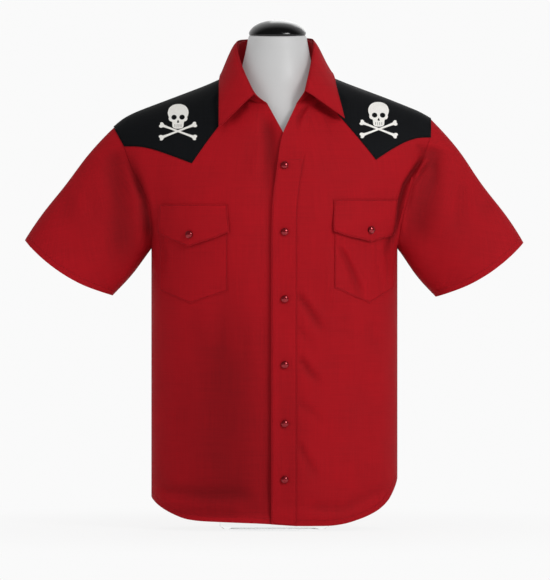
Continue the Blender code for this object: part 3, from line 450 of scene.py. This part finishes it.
def creased(piece, seed, runs, own=""):
    # a crease's way and height depend on place alone, so two pieces that meet in a seam move together there
    points, normals = getPoints(piece), getNormals(piece)
    ahead = creaseHeight(points, ("front", own)) * smoothStep(-points[:, 1], *clothSettings["sideFade"])
    behind = creaseHeight(points, ("back",)) * smoothStep(points[:, 1], *clothSettings["sideFade"])
    swell = softSwell(points, clothSettings["swellSize"], clothSettings["swell"], seed)
    swell *= smoothStep(edgeDistance(points, runs, "seam"), 0, clothSettings["seamCalm"])
    moved = points + normals * swell[:, None]
    way = creaseWay(points)
    moved[:, 0] += way[:, 0] * (ahead + behind)
    moved[:, 1] += way[:, 1] * (behind - ahead)
    setPoints(piece, moved)
    # the crease height goes to the finish, which paints shade in the valleys from it
    setValues(piece, "crease", ahead + behind)


def middleOf(node):
    low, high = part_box(node)
    return (low + high) / 2


def heartOf(node):
    # a place inside the tube that a piece runs round, so that outwards is away from it
    middle = middleOf(node)
    if node.startswith("sleeve"):
        return middle
    if node.startswith("collar"):
        return Vector((0.0, -0.01, middle.z - 0.02))
    return Vector((0.0, 0.0, middle.z))


def openFace(node, levels, corner=26):
    # the outer of the two faces of a node's thin wall, as one open sheet of quads
    work, heart = weldedSolid(node), heartOf(node)
    sharp = math.radians(clothSettings["rimAngle"])
    left, islands = set(work.faces), []
    while left:
        group = [left.pop()]
        for face in group:
            for edge in face.edges:
                if edge.calc_face_angle(9) < sharp:
                    found = [f for f in edge.link_faces if f in left]
                    left.difference_update(found)
                    group.extend(found)
        islands.append(group)
    outward = [sum(f.normal.dot(f.calc_center_median() - heart) * f.calc_area() for f in g) for g in islands]
    keep = set(islands[outward.index(max(outward))])
    bmesh.ops.delete(work, geom=[f for f in work.faces if f not in keep], context="FACES")
    bmesh.ops.join_triangles(work, faces=work.faces, angle_face_threshold=1.2, angle_shape_threshold=3.1)
    keepSharp = work.verts.layers.float.new("crease_vert")
    for point in work.verts:
        rims = [e.other_vert(point).co - point.co for e in point.link_edges if e.is_boundary]
        if len(rims) == 2 and rims[0].angle(rims[1]) < math.radians(180 - corner):
            point[keepSharp] = 1.0
    piece = makeFromWork("shirt_" + node, work)
    applyModifier(piece, "SUBSURF", levels=levels, boundary_smooth="PRESERVE_CORNERS")
    return piece


def edgeRuns(piece):
    # each edge of an open sheet as points in order, with the surface's normal and the way into the cloth
    work = bmesh.new()
    work.from_mesh(piece.data)
    ends = [edge.link_loops[0] for edge in work.edges if edge.is_boundary]
    nextPoint = {loop.vert: loop.link_loop_next.vert for loop in ends}
    runs = []
    while nextPoint:
        order = [next(iter(nextPoint))]
        while order[-1] in nextPoint:
            following = nextPoint.pop(order[-1])
            if following == order[0]:
                break
            order.append(following)
        points = np.array([point.co for point in order])
        normals = np.array([point.normal for point in order])
        tangent = np.roll(points, -1, axis=0) - np.roll(points, 1, axis=0)
        tangent /= np.maximum(np.linalg.norm(tangent, axis=1, keepdims=True), 1e-9)
        runs.append((points, normals, tangent, np.cross(normals, tangent)))
    work.free()
    return runs


placketTop = 0.606  # m; above this the placket turns out with the front

# rules for a part of an edge, from a place on it and the way into the cloth there
edgeRules = {
    "any": lambda at, into: True,
    "none": lambda at, into: False,
    "hem": lambda at, into: into[2] > 0.45 and at[2] < 0.12,
    "cuff": lambda at, into: abs(at[0]) > 0.262 and at[2] < 0.485,
    "seam": lambda at, into: not edgeRules["hem"](at, into) and not edgeRules["cuff"](at, into),
    "lower": lambda at, into: into[2] > 0.25,
    "top": lambda at, into: into[2] < -0.35,
    "shoulder": lambda at, into: abs(into[1]) > 0.6,
    "placket": lambda at, into: at[2] < placketTop,
}


def edgeDistance(points, runs, rule):
    # distance of each point to the part of a sheet's edge that a rule picks
    wanted = edgeRules[rule]
    best = np.full(len(points), 1.0)
    for edge, normals, tangent, inward in runs:
        ends = np.roll(edge, -1, axis=0)
        for k in range(len(edge)):
            if not wanted(edge[k], inward[k]):
                continue
            step = ends[k] - edge[k]
            size = max(float(step @ step), 1e-12)
            t = np.clip((points - edge[k]) @ step / size, 0, 1)
            best = np.minimum(best, np.linalg.norm(points - edge[k] - t[:, None] * step, axis=1))
    return best


def heightsOver(points, normals, bases, reach):
    # how far out each point has to move to touch the highest of the sheets under it; unknown where there is none
    trees = [treeOf(b) for b in bases]
    heights = np.full(len(points), np.nan)
    for i, (p, n) in enumerate(zip(points, normals)):
        hits = [t.ray_cast(Vector(p + n * reach), Vector(-n), 2 * reach)[3] for t in trees]
        hits = [h for h in hits if h is not None]
        if hits:
            heights[i] = reach - min(hits)
    return heights


def easedHeights(piece, need, unknown, steps):
    # spreads heights to their neighbours, never below what is needed
    edges = np.array([tuple(e.vertices) for e in piece.data.edges])
    count = np.maximum(np.bincount(edges.ravel(), minlength=len(need)), 1)
    height = np.where(np.isnan(need), unknown, need)
    for _ in range(steps):
        total = np.zeros(len(need))
        np.add.at(total, edges[:, 0], height[edges[:, 1]])
        np.add.at(total, edges[:, 1], height[edges[:, 0]])
        height = np.fmax(need, total / count)
    return height


def layOn(piece, bases, lift, spring, flushFrom, reach=0.03, steps=10):
    # drapes a sheet on those under it: every point comes to lie lift above the highest of them,
    # and springs a little further off towards its lower edge; above flushFrom it is one with the panel
    points, normals = getPoints(piece), getNormals(piece)
    over = lift * (1 - 0.85 * smoothStep(points[:, 2], flushFrom, flushFrom + clothSettings["flushOver"]))
    need = heightsOver(points, normals, bases, reach) + over
    height = easedHeights(piece, need, np.nanmedian(need), steps)
    hang = points[:, 2].max() - points[:, 2]
    height += spring * smoothStep(hang, *clothSettings["springOver"])
    setPoints(piece, points + normals * height[:, None])


def liftOff(piece, bases, gap, reach=0.02, steps=14):
    # pushes a sheet out wherever it comes closer than the gap to those under it
    points, normals = getPoints(piece), getNormals(piece)
    need = np.nan_to_num(np.maximum(0, heightsOver(points, normals, bases, reach) + gap))
    height = easedHeights(piece, need, 0, steps)
    setPoints(piece, points + normals * height[:, None])


def flareOut(piece, amount):
    # spreads a hanging flap a little towards its lower corners
    points = getPoints(piece)
    low, high = points[:, 0].min(), points[:, 0].max()
    hang = points[:, 2].max() - points[:, 2]
    aside = (points[:, 0] - (low + high) / 2) / ((high - low) / 2)
    points[:, 0] += amount * smoothStep(hang, *clothSettings["flareOver"]) * aside ** 3
    setPoints(piece, points)


mapRadius = {"body": 0.19, "neck": 0.085, "tube": 0.1}  # m, of the round each map unrolls


def clothUv(piece, how):
    # a map in metres along the threads
    points = getPoints(piece)
    x, y, z = points.T
    if how == "flat":
        u, v = x, z
    elif how == "body":
        u, v = mapRadius[how] * np.arctan2(x, np.abs(y) * 1.7), z
    elif how == "neck":
        u, v = mapRadius[how] * np.arctan2(x, y + 0.02), z
    else:
        rel = points - points.mean(axis=0)
        axis = np.linalg.svd(rel, full_matrices=False)[2][0]
        side = np.cross(axis, (0.0, 1.0, 0.0))
        side /= np.linalg.norm(side)
        u, v = mapRadius[how] * np.arctan2(rel @ side, rel @ np.cross(axis, side)), rel @ axis
    layer = piece.data.uv_layers.new(name="cloth")
    corner = readValues(piece.data.loops, "vertex_index", kind=int)
    pairs = np.stack([u[corner], v[corner]], axis=1)
    if how == "tube":
        # a face across the seam of the map gets both its sides on the same turn
        starts, counts = (readValues(piece.data.polygons, f, kind=int) for f in ("loop_start", "loop_total"))
        face = np.repeat(np.arange(len(starts)), counts)
        wide = np.maximum.reduceat(pairs[:, 0], starts) - np.minimum.reduceat(pairs[:, 0], starts)
        turn = 2 * math.pi * mapRadius[how]
        pairs[:, 0] += np.where((wide[face] > turn * 0.48) & (pairs[:, 0] < 0), turn, 0)
    layer.data.foreach_set("uv", pairs.ravel())


# what a row says, where it isn't the usual. seed: of its unevenness. map: how its threads run. sewn, hemmed: the part
# of its edge that is stitched, and turned up. on: what it is laid on. spring, flare: how far a flap stands off and
# spreads, m. flush: above this it is one with its panel, m. cut: width and length in m of the rectangle that it was
# cut from, and the share that it fills. held, rests: how it is held, and on what
garment = {
    "front_right": {"seed": 1, "map": "body", "hemmed": "hem", "cut": (0.3, 0.815, 0.85), "rests": "form_torso"},
    "front_left": {"seed": 2, "map": "body", "hemmed": "hem", "cut": (0.285, 0.815, 0.8), "rests": "form_torso"},
    "back": {"seed": 3, "map": "body", "hemmed": "hem", "cut": (0.56, 0.8, 0.82), "rests": "form_torso"},
    "sleeve_right": {"seed": 4, "map": "tube", "hemmed": "cuff", "cut": (0.43, 0.27, 0.715),
                     "rests": "shirt_front_right"},
    "sleeve_left": {"seed": 5, "map": "tube", "hemmed": "cuff", "cut": (0.43, 0.27, 0.71),
                    "rests": "shirt_front_left"},
    "yoke_front_right": {"on": ["front_right"], "sewn": "lower", "cut": (0.215, 0.175, 0.63)},
    "yoke_front_left": {"on": ["front_left"], "sewn": "lower", "cut": (0.195, 0.17, 0.6)},
    "yoke_back": {"on": ["back"], "map": "body", "sewn": "lower", "cut": (0.455, 0.17, 0.88)},
    "placket": {"on": ["front_left", "front_right"], "levels": 3, "flush": placketTop, "sewn": "placket",
                "cut": (0.044, 0.69, 0.99), "rests": "shirt_front_left"},
    "pocket_right": {"on": ["front_right"], "sewn": "any", "cut": (0.125, 0.165, 0.955)},
    "pocket_left": {"on": ["front_left"], "sewn": "any", "cut": (0.124, 0.165, 0.953)},
    "flap_right": {"on": ["front_right", "pocket_right"], "spring": 0.0036, "flare": 0.0032, "sewn": "any",
                   "cut": (0.125, 0.072, 0.845)},
    "flap_left": {"on": ["front_left", "pocket_left"], "spring": 0.004, "flare": 0.0032, "sewn": "any",
                  "cut": (0.122, 0.072, 0.843)},
    "collar_stand": {"seed": 6, "map": "neck", "cut": (0.44, 0.045, 0.955), "held": "folded", "rests": "shirt_back"},
    "collar_leaf": {"map": "neck", "sewn": "any", "cut": (0.46, 0.078, 0.917), "held": "folded",
                    "rests": "shirt_collar_stand"},
}
panels = ["front_right", "front_left", "back", "sleeve_right", "sleeve_left"]
patches = ["pocket_right", "pocket_left", "flap_right", "flap_left", "yoke_front_right", "yoke_front_left",
           "yoke_back", "placket"]  # lowest first
cloth, runsOf, attached = {}, {}, {node: [] for node in garment}

# each sleeve's upper edge runs straighter than its solid, and the lower one fuller. All m: how far each is pulled in,
# at which height, over how much of it, and between which places outwards that comes or goes. line: how far out the
# lower edge lies, and how fast that grows below a height
sleeveFit = {
    "upper": {"sleeve_right": 0.0062, "sleeve_left": 0.0078, "height": 0.566, "over": 0.046, "side": (0.255, 0.335)},
    "lower": {"sleeve_right": 0.0055, "sleeve_left": 0.0055, "height": 0.414, "over": 0.036, "side": (0.005, 0.06),
              "line": (0.227, 0.83, 0.438)},
}


def fitSleeve(piece, node, upper, lower):
    points = getPoints(piece)
    side, height = np.abs(points[:, 0]), points[:, 2]
    out, slope, level = lower["line"]
    under = out + slope * (level - height)
    pull = upper[node] * bell(height, upper["height"], upper["over"]) * smoothStep(side, *upper["side"])
    pull += lower[node] * bell(height, lower["height"], lower["over"]) * (1 - smoothStep(side - under, *lower["side"]))
    points[:, 0] -= np.sign(points[:, 0]) * pull
    setPoints(piece, points)


# the hem lies a little higher than its solids: the rise, and the heights between which it fades, m
hemFit = {"rise": 0.006, "full": 0.012, "none": 0.05}


def raiseHem(piece, rise, full, none):
    points = getPoints(piece)
    points[:, 2] += rise * np.clip((none - points[:, 2]) / (none - full), 0, 1)
    setPoints(piece, points)


def cottonOf(node):
    # a piece's finish, thread and slot
    if node.startswith("yoke"):
        return blackPoplin, blackThread, "black_cotton"
    return redPoplin, redThread, "red_cotton"


def keepCloth(node, piece):
    cloth[node], runsOf[node] = piece, edgeRuns(piece)


for node in panels:
    piece = openFace(node, 3)
    raiseHem(piece, **hemFit)
    if node.startswith("sleeve"):
        fitSleeve(piece, node, **sleeveFit)
    creased(piece, garment[node]["seed"], edgeRuns(piece), node)
    keepCloth(node, piece)
print("panels creased")

for node in patches:
    row = garment[node]
    piece = openFace(node, row.get("levels", 4))
    raiseHem(piece, **hemFit)
    creased(piece, garment[row["on"][0]]["seed"], [])
    flareOut(piece, row.get("flare", 0))
    layOn(piece, [cloth[b] for b in row["on"]], clothSettings["lift"], row.get("spring", 0), row.get("flush", 1))
    keepCloth(node, piece)
print("patches laid on")

collar = {"corner": 55, "gap": 0.0032}  # how sharp a corner stays one, degrees; between the leaf and the body, m
stand = openFace("collar_stand", 3, collar["corner"])
creased(stand, garment["collar_stand"]["seed"], edgeRuns(stand))
keepCloth("collar_stand", stand)
leaf = openFace("collar_leaf", 3, collar["corner"])
liftOff(leaf, [cloth[b] for b in cloth if b.startswith(("front", "back", "yoke"))], collar["gap"])
setValues(leaf, "crease", np.zeros(len(leaf.data.vertices)))
keepCloth("collar_leaf", leaf)
print("collar shaped")


def makeStitch(settings):
    # one stitch, lying along x: a low cushion of thread, thicker in the middle
    bpy.ops.mesh.primitive_cylinder_add(vertices=6, radius=settings["stitchWidth"] / 2,
                                        depth=settings["stitchLength"], rotation=(0, math.pi / 2, 0))
    stitch = bpy.context.object
    bpy.ops.object.transform_apply(location=True, rotation=True, scale=True)
    setMode("EDIT")
    bpy.ops.mesh.select_all(action="DESELECT")
    setMode("OBJECT")
    for face in stitch.data.polygons:
        face.select = abs(face.normal.x) > 0.9
    setMode("EDIT")
    bpy.ops.mesh.inset(thickness=settings["stitchWidth"] * 0.2, depth=settings["stitchWidth"] * 0.35)
    setMode("OBJECT")
    return stitch


stitchPattern = makeStitch(clothSettings)
stitchPoints = getPoints(stitchPattern)
stitchFaces = [tuple(p.vertices) for p in stitchPattern.data.polygons]
bpy.data.objects.remove(stitchPattern)


def attach(name, node, points, faces, material):
    # keeps a new small piece with the cloth that carries it
    mesh = bpy.data.meshes.new(name)
    mesh.from_pydata(np.array(points).tolist(), [], faces)
    mesh.materials.append(material)
    piece = makeObject(name, mesh)
    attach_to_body(piece, "root")
    attached[node].append(piece)
    return piece


def sewRow(name, node, runs, rule, away, over=0.00008):
    # copies of the stitch laid end to end along an edge, this far in from it, half sunk into the cloth
    tree = treeOf(cloth[node])
    stitches, faces = [], []
    for points, normals, tangent, inward in runs:
        line = points + inward * away
        keep = np.array([edgeRules[rule](p, i) for p, i in zip(points, inward)])
        close = edgeDistance(line, runs, "any") if away > 0.004 else np.full(len(line), away)
        keep &= close > away * 0.85
        gone = 0.0
        for k in range(len(line)):
            j = (k + 1) % len(line)
            step = np.linalg.norm(line[j] - line[k])
            if not (keep[k] and keep[j]) or step > 0.02 or step < 1e-9:
                continue
            while gone < step:
                spot = line[k] + (line[j] - line[k]) * gone / step
                hit, normal = tree.find_nearest(Vector(spot))[:2]
                gone += clothSettings["stitchPitch"]
                if hit is None:
                    continue
                x = Vector((line[j] - line[k]) / step)
                x = (x - normal * x.dot(normal)).normalized()
                turn = np.array([x, normal.cross(x), normal]).T
                faces.extend(tuple(i + len(stitches) * len(stitchPoints) for i in f) for f in stitchFaces)
                stitches.append(stitchPoints @ turn.T + np.array(hit + normal * over))
            gone -= step
    if stitches:
        finish, thread, slot = cottonOf(node)
        attach(name, node, np.concatenate(stitches), faces, thread)


def bindSeam(name, node, rule, others, reach=0.006, under=0.0011, half=0.0045):
    # a narrow tape under a seam, following both pieces, as the felled allowance does
    edge, faceOn, into = (np.concatenate([run[k] for other in others for run in runsOf[other]]) for k in (0, 1, 3))
    points, faces = [], []
    for own, normals, tangent, inward in runsOf[node]:
        last = None
        for k in [*range(len(own)), 0]:
            gaps = np.linalg.norm(edge - own[k], axis=1)
            near = int(gaps.argmin())
            if not edgeRules[rule](own[k], inward[k]) or gaps[near] > reach:
                last = None
                continue
            start = len(points)
            points.extend([own[k] + inward[k] * half - normals[k] * under,
                           (own[k] + edge[near]) / 2 - (normals[k] + faceOn[near]) / 2 * under,
                           edge[near] + into[near] * half - faceOn[near] * under])
            if last is not None:
                faces.extend((last + j, last + j + 1, start + j + 1, start + j) for j in (0, 1))
            last = start
    finish, thread, slot = cottonOf(node)
    tape = attach(name, node, points, faces, finish)
    clothUv(tape, "flat")
    setValues(tape, "edge", np.ones(len(points)))
    setValues(tape, "hem", np.ones(len(points)))


for side in ("right", "left"):
    bindSeam("binding_armhole_" + side, "sleeve_" + side, "seam", ["front_" + side, "back"])
    bindSeam("binding_side_" + side, "front_" + side, "seam", ["back"])
    bindSeam("seam_shoulder_" + side, "yoke_front_" + side, "shoulder", ["yoke_back"], under=0.0005)
bindSeam("seam_collar", "collar_stand", "top", ["collar_leaf"], reach=0.014, under=0.0003)
bindSeam("seam_neck", "collar_stand", "lower", ["front_right", "front_left", "back"], reach=0.012, under=0.0006)
print("seams bound")

for node, row in garment.items():
    piece, runs = cloth[node], runsOf[node]
    sewn, hemmed = row.get("sewn", "none"), row.get("hemmed", "none")
    setValues(piece, "edge", edgeDistance(getPoints(piece), runs, sewn))
    setValues(piece, "hem", edgeDistance(getPoints(piece), runs, hemmed))
    clothUv(piece, row.get("map", "flat"))
    sewRow("stitching_" + node, node, runs, sewn, sewing["edge"])
    sewRow("stitching_hem_" + node, node, runs, hemmed, sewing["hem"])
# a short bar of stitches across the placket just below where it turns out, between these two places aside, m
placketTree, barEnds = treeOf(cloth["placket"]), (0.027, 0.048)
bar = np.array([frontHit(placketTree, x, placketTop - 0.0004)[0] for x in np.linspace(*barEnds, 8)])
down = np.tile((0.0, 0.0, -1.0), (len(bar), 1))
sewRow("stitching_placket_bar", "placket", [(bar, down, down, down)], "any", 0.0002)
print("topstitching sewn")

for node, piece in cloth.items():
    finish, thread, slot = cottonOf(node)
    piece.data.materials.append(finish)
    thickness = clothSettings["patchThickness" if node in patches else "thickness"]
    applyModifier(piece, "SOLIDIFY", thickness=thickness, offset=-1.0)
    smoothShade(piece)
    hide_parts(node)
    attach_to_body(piece, "root")
print("cloth given its thickness")


# snaps: a domed pearl set in a rolled rim, modelled once and pressed on where each goes

snapSettings = {"rimRadius": 0.007, "rimHeight": 0.0016, "pearlRadius": 0.0062, "dome": 0.0036, "sink": 0.0002}


def modelSnap(settings):
    # the rim: a low disc with a bevelled lip and a seat for the pearl, its axis along z
    pickNone()
    bpy.ops.mesh.primitive_cylinder_add(vertices=48, radius=settings["rimRadius"], depth=settings["rimHeight"],
                                        location=(0, 0, settings["rimHeight"] / 2))
    rim = bpy.context.object
    bpy.ops.object.transform_apply(location=True)
    for face in rim.data.polygons:
        face.select = face.normal.z > 0.9
    setMode("EDIT")
    bpy.ops.mesh.select_mode(type="FACE")
    bpy.ops.mesh.inset(thickness=settings["rimRadius"] - settings["pearlRadius"] - 0.0001)
    bpy.ops.mesh.inset(thickness=0.0002, depth=-settings["rimHeight"] * 0.45)
    setMode("OBJECT")
    applyModifier(rim, "BEVEL", width=0.00035, segments=3, limit_method="ANGLE", angle_limit=math.radians(40))
    rim.data.materials.append(snapMetal)
    # the pearl: a flattened ball, its lower half taken off
    bpy.ops.mesh.primitive_uv_sphere_add(segments=40, ring_count=24, radius=settings["pearlRadius"])
    pearl = bpy.context.object
    setMode("EDIT")
    bpy.ops.mesh.select_all(action="SELECT")
    bpy.ops.mesh.bisect(plane_co=(0, 0, settings["pearlRadius"] * 0.1), plane_no=(0, 0, 1), clear_inner=True,
                        use_fill=True)
    bpy.ops.mesh.select_all(action="SELECT")
    bpy.ops.transform.resize(value=(1, 1, settings["dome"] / settings["pearlRadius"]))
    bpy.ops.transform.translate(value=(0, 0, settings["rimHeight"] * 0.62))
    bpy.ops.mesh.normals_make_consistent(inside=False)
    setMode("OBJECT")
    pearl.data.materials.append(pearlResin)
    for part in (rim, pearl):
        smoothShade(part)
    activate(rim)
    pearl.select_set(True)
    bpy.ops.object.join()
    return rim


snapPattern = modelSnap(snapSettings)
snapOn = {f"snap_front_{k}": "placket" for k in range(1, 7)} | {f"snap_{f}": f for f in ("flap_right", "flap_left")}
for node, carrier in snapOn.items():
    middle = middleOf(node)
    hit, normal = frontHit(treeOf(cloth[carrier]), middle.x, middle.z)
    mesh = snapPattern.data.copy()
    turn = Vector((0, 0, 1)).rotation_difference(normal).to_matrix().to_4x4()
    mesh.transform(Matrix.Translation(hit - normal * snapSettings["sink"]) @ turn)
    snap = makeObject("shirt_" + node, mesh)
    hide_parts(node)
    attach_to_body(snap, "root")
    attached[carrier].append(snap)
bpy.data.objects.remove(snapPattern)
print("snaps set")


# yoke motif: a plain skull over crossed bones, the old flag figure, drawn here on a centre line and mirrored

motif = {
    "places": {"yoke_front_right": (-0.1575, 0.6775), "yoke_front_left": (0.1705, 0.681)}, "lift": 0.00035,
    "thickness": 0.0003, "grid": 0.004,
    # half outline of the skull, then an eye, the nose and the gaps between teeth; all mm from its middle
    "skull": [(0, 20.6), (5.6, 20.0), (10.8, 17.8), (14.8, 13.8), (16.8, 8.6), (16.8, 3.6), (15.2, -1.0),
              (15.4, -4.6), (13.6, -7.6), (10.2, -9.0), (9.4, -12.0), (9.0, -16.6), (7.2, -19.2), (3.6, -20.4),
              (0, -20.6)],
    "eye": (6.6, -1.6, 4.5, 4.2), "nose": [(0, -6.0), (1.9, -10.0), (0.7, -11.0), (0, -10.4)],
    "teeth": [(1.6, -18.6), (5.0, -18.0)],
    "bone": {"reach": 30.0, "half": 1.7, "knob": 3.2, "turn": 21.0, "drop": -24.5},
}


def roundPath(points, steps):
    # closed smooth line through points
    points = np.array(points, float)
    out = []
    for k in range(len(points)):
        a, b, c, d = (points[(k + j - 1) % len(points)] for j in range(4))
        for s in range(steps):
            t = s / steps
            out.append(0.5 * (2 * b + (c - a) * t + (2 * a - 5 * b + 4 * c - d) * t * t
                              + (3 * b - a - 3 * c + d) * t ** 3))
    return out


def oval(x, z, wide, high, count=20):
    return [(x + wide * math.cos(2 * math.pi * k / count), z + high * math.sin(2 * math.pi * k / count))
            for k in range(count)]


def mirrored(half):
    return half + [(-x, z) for x, z in reversed(half[1:-1])]


def skullLines(settings):
    x, z, wide, high = settings["eye"]
    lines = [roundPath(mirrored(settings["skull"]), 4), oval(x, z, wide, high), oval(-x, z, wide, high),
             roundPath(mirrored(settings["nose"]), 3)]
    for side in (-1, 1):
        for gap, low in settings["teeth"]:
            lines.append([(side * gap - 0.4, low), (side * gap + 0.4, low), (side * gap + 0.4, -13.4),
                          (side * gap, -12.8), (side * gap - 0.4, -13.4)])
    return lines


def boneLines(settings, turn):
    bone = settings["bone"]
    reach, half, knob = bone["reach"], bone["half"], bone["knob"]
    quarter = [(0, half * 0.9), (reach * 0.5, half * 0.95), (reach - knob * 1.5, half * 1.3),
               (reach - knob * 0.9, knob * 1.15), (reach, knob * 1.45), (reach + knob * 0.8, knob * 0.95),
               (reach + knob * 0.55, 0)]
    outline = mirrored(quarter + [(x, -z) for x, z in reversed(quarter[:-1])])
    angle = math.radians(turn)
    return [[(x * math.cos(angle) - z * math.sin(angle), x * math.sin(angle) + z * math.cos(angle) + bone["drop"])
             for x, z in roundPath(outline, 3)]]


def embroider(name, lines, node, centre, lift, settings):
    # fills the lines, cuts the patch into a fine grid so it bends with the yoke, and lays it on
    work = bmesh.new()
    for line in lines:
        points = [work.verts.new((centre[0] + x / 1000, 0, centre[1] + z / 1000)) for x, z in line]
        for a, b in zip(points, points[1:] + points[:1]):
            work.edges.new((a, b))
    bmesh.ops.triangle_fill(work, edges=work.edges, use_beauty=True, normal=(0, -1, 0))
    places = np.array([v.co for v in work.verts])
    low, high = places.min(axis=0), places.max(axis=0)
    for axis in (0, 2):
        for place in np.arange(low[axis] + settings["grid"] / 2, high[axis], settings["grid"]):
            spot, way = [0, 0, 0], [0, 0, 0]
            spot[axis], way[axis] = place, 1
            bmesh.ops.bisect_plane(work, geom=work.verts[:] + work.edges[:] + work.faces[:], plane_co=spot,
                                   plane_no=way, dist=1e-7)
    patch = makeFromWork(name, work)
    clothUv(patch, "flat")
    tree, ahead = treeOf(cloth[node]), cloth[node].bound_box[0][1]
    points = getPoints(patch)
    for i, p in enumerate(points):
        hit, normal = frontHit(tree, p[0], p[2])
        if hit is None:
            hit, normal = tree.find_nearest(Vector((p[0], ahead, p[2])))[:2]
        points[i] = hit + normal * lift
    setPoints(patch, points)
    patch.data.materials.append(whiteStitch)
    applyModifier(patch, "SOLIDIFY", thickness=settings["thickness"], offset=-1.0)
    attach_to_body(patch, "root")
    attached[node].append(patch)


for node, centre in motif["places"].items():
    lean = motif["bone"]["turn"] if node.endswith("right") else -motif["bone"]["turn"]
    layers = [("bone_under", boneLines(motif, -lean), 1.0), ("bone_over", boneLines(motif, lean), 1.9),
              ("skull", skullLines(motif), 2.8)]
    for part, lines, level in layers:
        embroider(f"motif_{part}_{node}", lines, node, centre, motif["lift"] * level, motif)
print("motif embroidered")


# dress form

def smoothCopy(name, node, levels, sharp, material):
    # the solid's own shape made fine, its sharp edges kept
    work = weldedSolid(node)
    crease = work.edges.layers.float.new("crease_edge")
    for edge in work.edges:
        edge[crease] = 1.0 if edge.calc_face_angle(0) > math.radians(sharp) else 0.0
    piece = makeFromWork(name, work)
    piece.data.materials.append(material)
    if levels:
        applyModifier(piece, "SUBSURF", levels=levels)
    applyModifier(piece, "BEVEL", width=0.0006, segments=2, limit_method="ANGLE", angle_limit=math.radians(sharp))
    smoothShade(piece)
    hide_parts(node)
    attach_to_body(piece, "root")


smoothCopy("dress_form", "form_torso", 1, 50, formSkin)
smoothCopy("dress_form_plinth", "form_plinth", 0, 50, plinthAcrylic)
smoothCopy("dress_form_cap", "neck_cap", 2, 35, capLacquer)
print("dress form finished")


# floor, light and surroundings

studio = {"floor": 8.0, "white": 0.955, "fill": 0.53, "room": 0.06}


def addDirect(holder):
    # one for what the camera sees straight on or through something clear, nought for the light that falls elsewhere
    seen = [addNode(holder, "LightPath", {}, f"Is {kind} Ray") for kind in ("Camera", "Transmission")]
    return addMath(holder, "MAXIMUM", *seen)


def makeStudio(settings):
    white, pale = settings["white"], newMaterial("pale studio floor")
    place = addNode(pale, "TexCoord", {}, "Object")
    matt = addNode(pale, "BsdfDiffuse", {"Color": addMix(pale, addNoise(pale, place, 30.0), "#f4f4f4", "#f7f7f7")})
    glow = addNode(pale, "Emission", {"Color": (white, white, white, 1.0), "Strength": 1.0})
    away = addNode(pale, "VectorMath", {"operation": "LENGTH", 0: place}, "Value")
    seen = addMath(pale, "MULTIPLY", addDirect(pale), addRange(pale, away, 0.9, 1.0, 0.25, 0.9, smooth=True))
    addNode(pale, "OutputMaterial", {"Surface": addNode(pale, "MixShader", {0: seen, 1: matt, 2: glow})})
    pickNone()
    bpy.ops.mesh.primitive_plane_add(size=settings["floor"])
    floor = bpy.context.object
    floor.name = "studio_floor"
    floor.data.materials.append(pale)
    world = bpy.data.worlds.new("studio air")
    bpy.context.scene.world = world
    world.use_nodes = True
    world.node_tree.nodes.clear()
    level = addRange(world, addDirect(world), settings["fill"], white)
    # glossy surfaces show the white backdrop behind the piece and the dim room on the lens side
    way = addNode(world, "SeparateXYZ", {"Vector": addNode(world, "TexCoord", {}, "Object")}, "Y")
    backdrop = addRange(world, way, settings["room"], white, -0.1, 0.7, smooth=True)
    glossy = addNode(world, "LightPath", {}, "Is Glossy Ray")
    level = addNode(world, "Mix", {0: glossy, 2: level, 3: backdrop})
    air = addNode(world, "Background", {"Color": (1.0, 1.0, 1.0, 1.0), "Strength": level})
    addNode(world, "OutputWorld", {"Surface": air})


lamps = [
    {"name": "key", "place": (2.2, -2.8, 2.1), "size": 1.25, "power": 67},
    {"name": "fill", "place": (-2.6, -3.0, 1.2), "size": 2.2, "power": 18},
    {"name": "rim", "place": (0.6, 2.6, 2.2), "size": 1.6, "power": 13},
]


def makeLamp(settings, target=(0, 0, 0.45)):
    spot = Vector(settings["place"])
    aim = (Vector(target) - spot).to_track_quat("-Z", "Y").to_euler()
    bpy.ops.object.light_add(type="AREA", location=spot, rotation=aim)
    lamp = bpy.context.object
    lamp.name = "lamp_" + settings["name"]
    lamp.data.size = settings["size"]
    lamp.data.energy = settings["power"]
    lamp.visible_glossy = settings["name"] != "fill"


makeStudio(studio)
for row in lamps:
    makeLamp(row)
bpy.context.scene.view_settings.view_transform = "Standard"
print("studio lit")
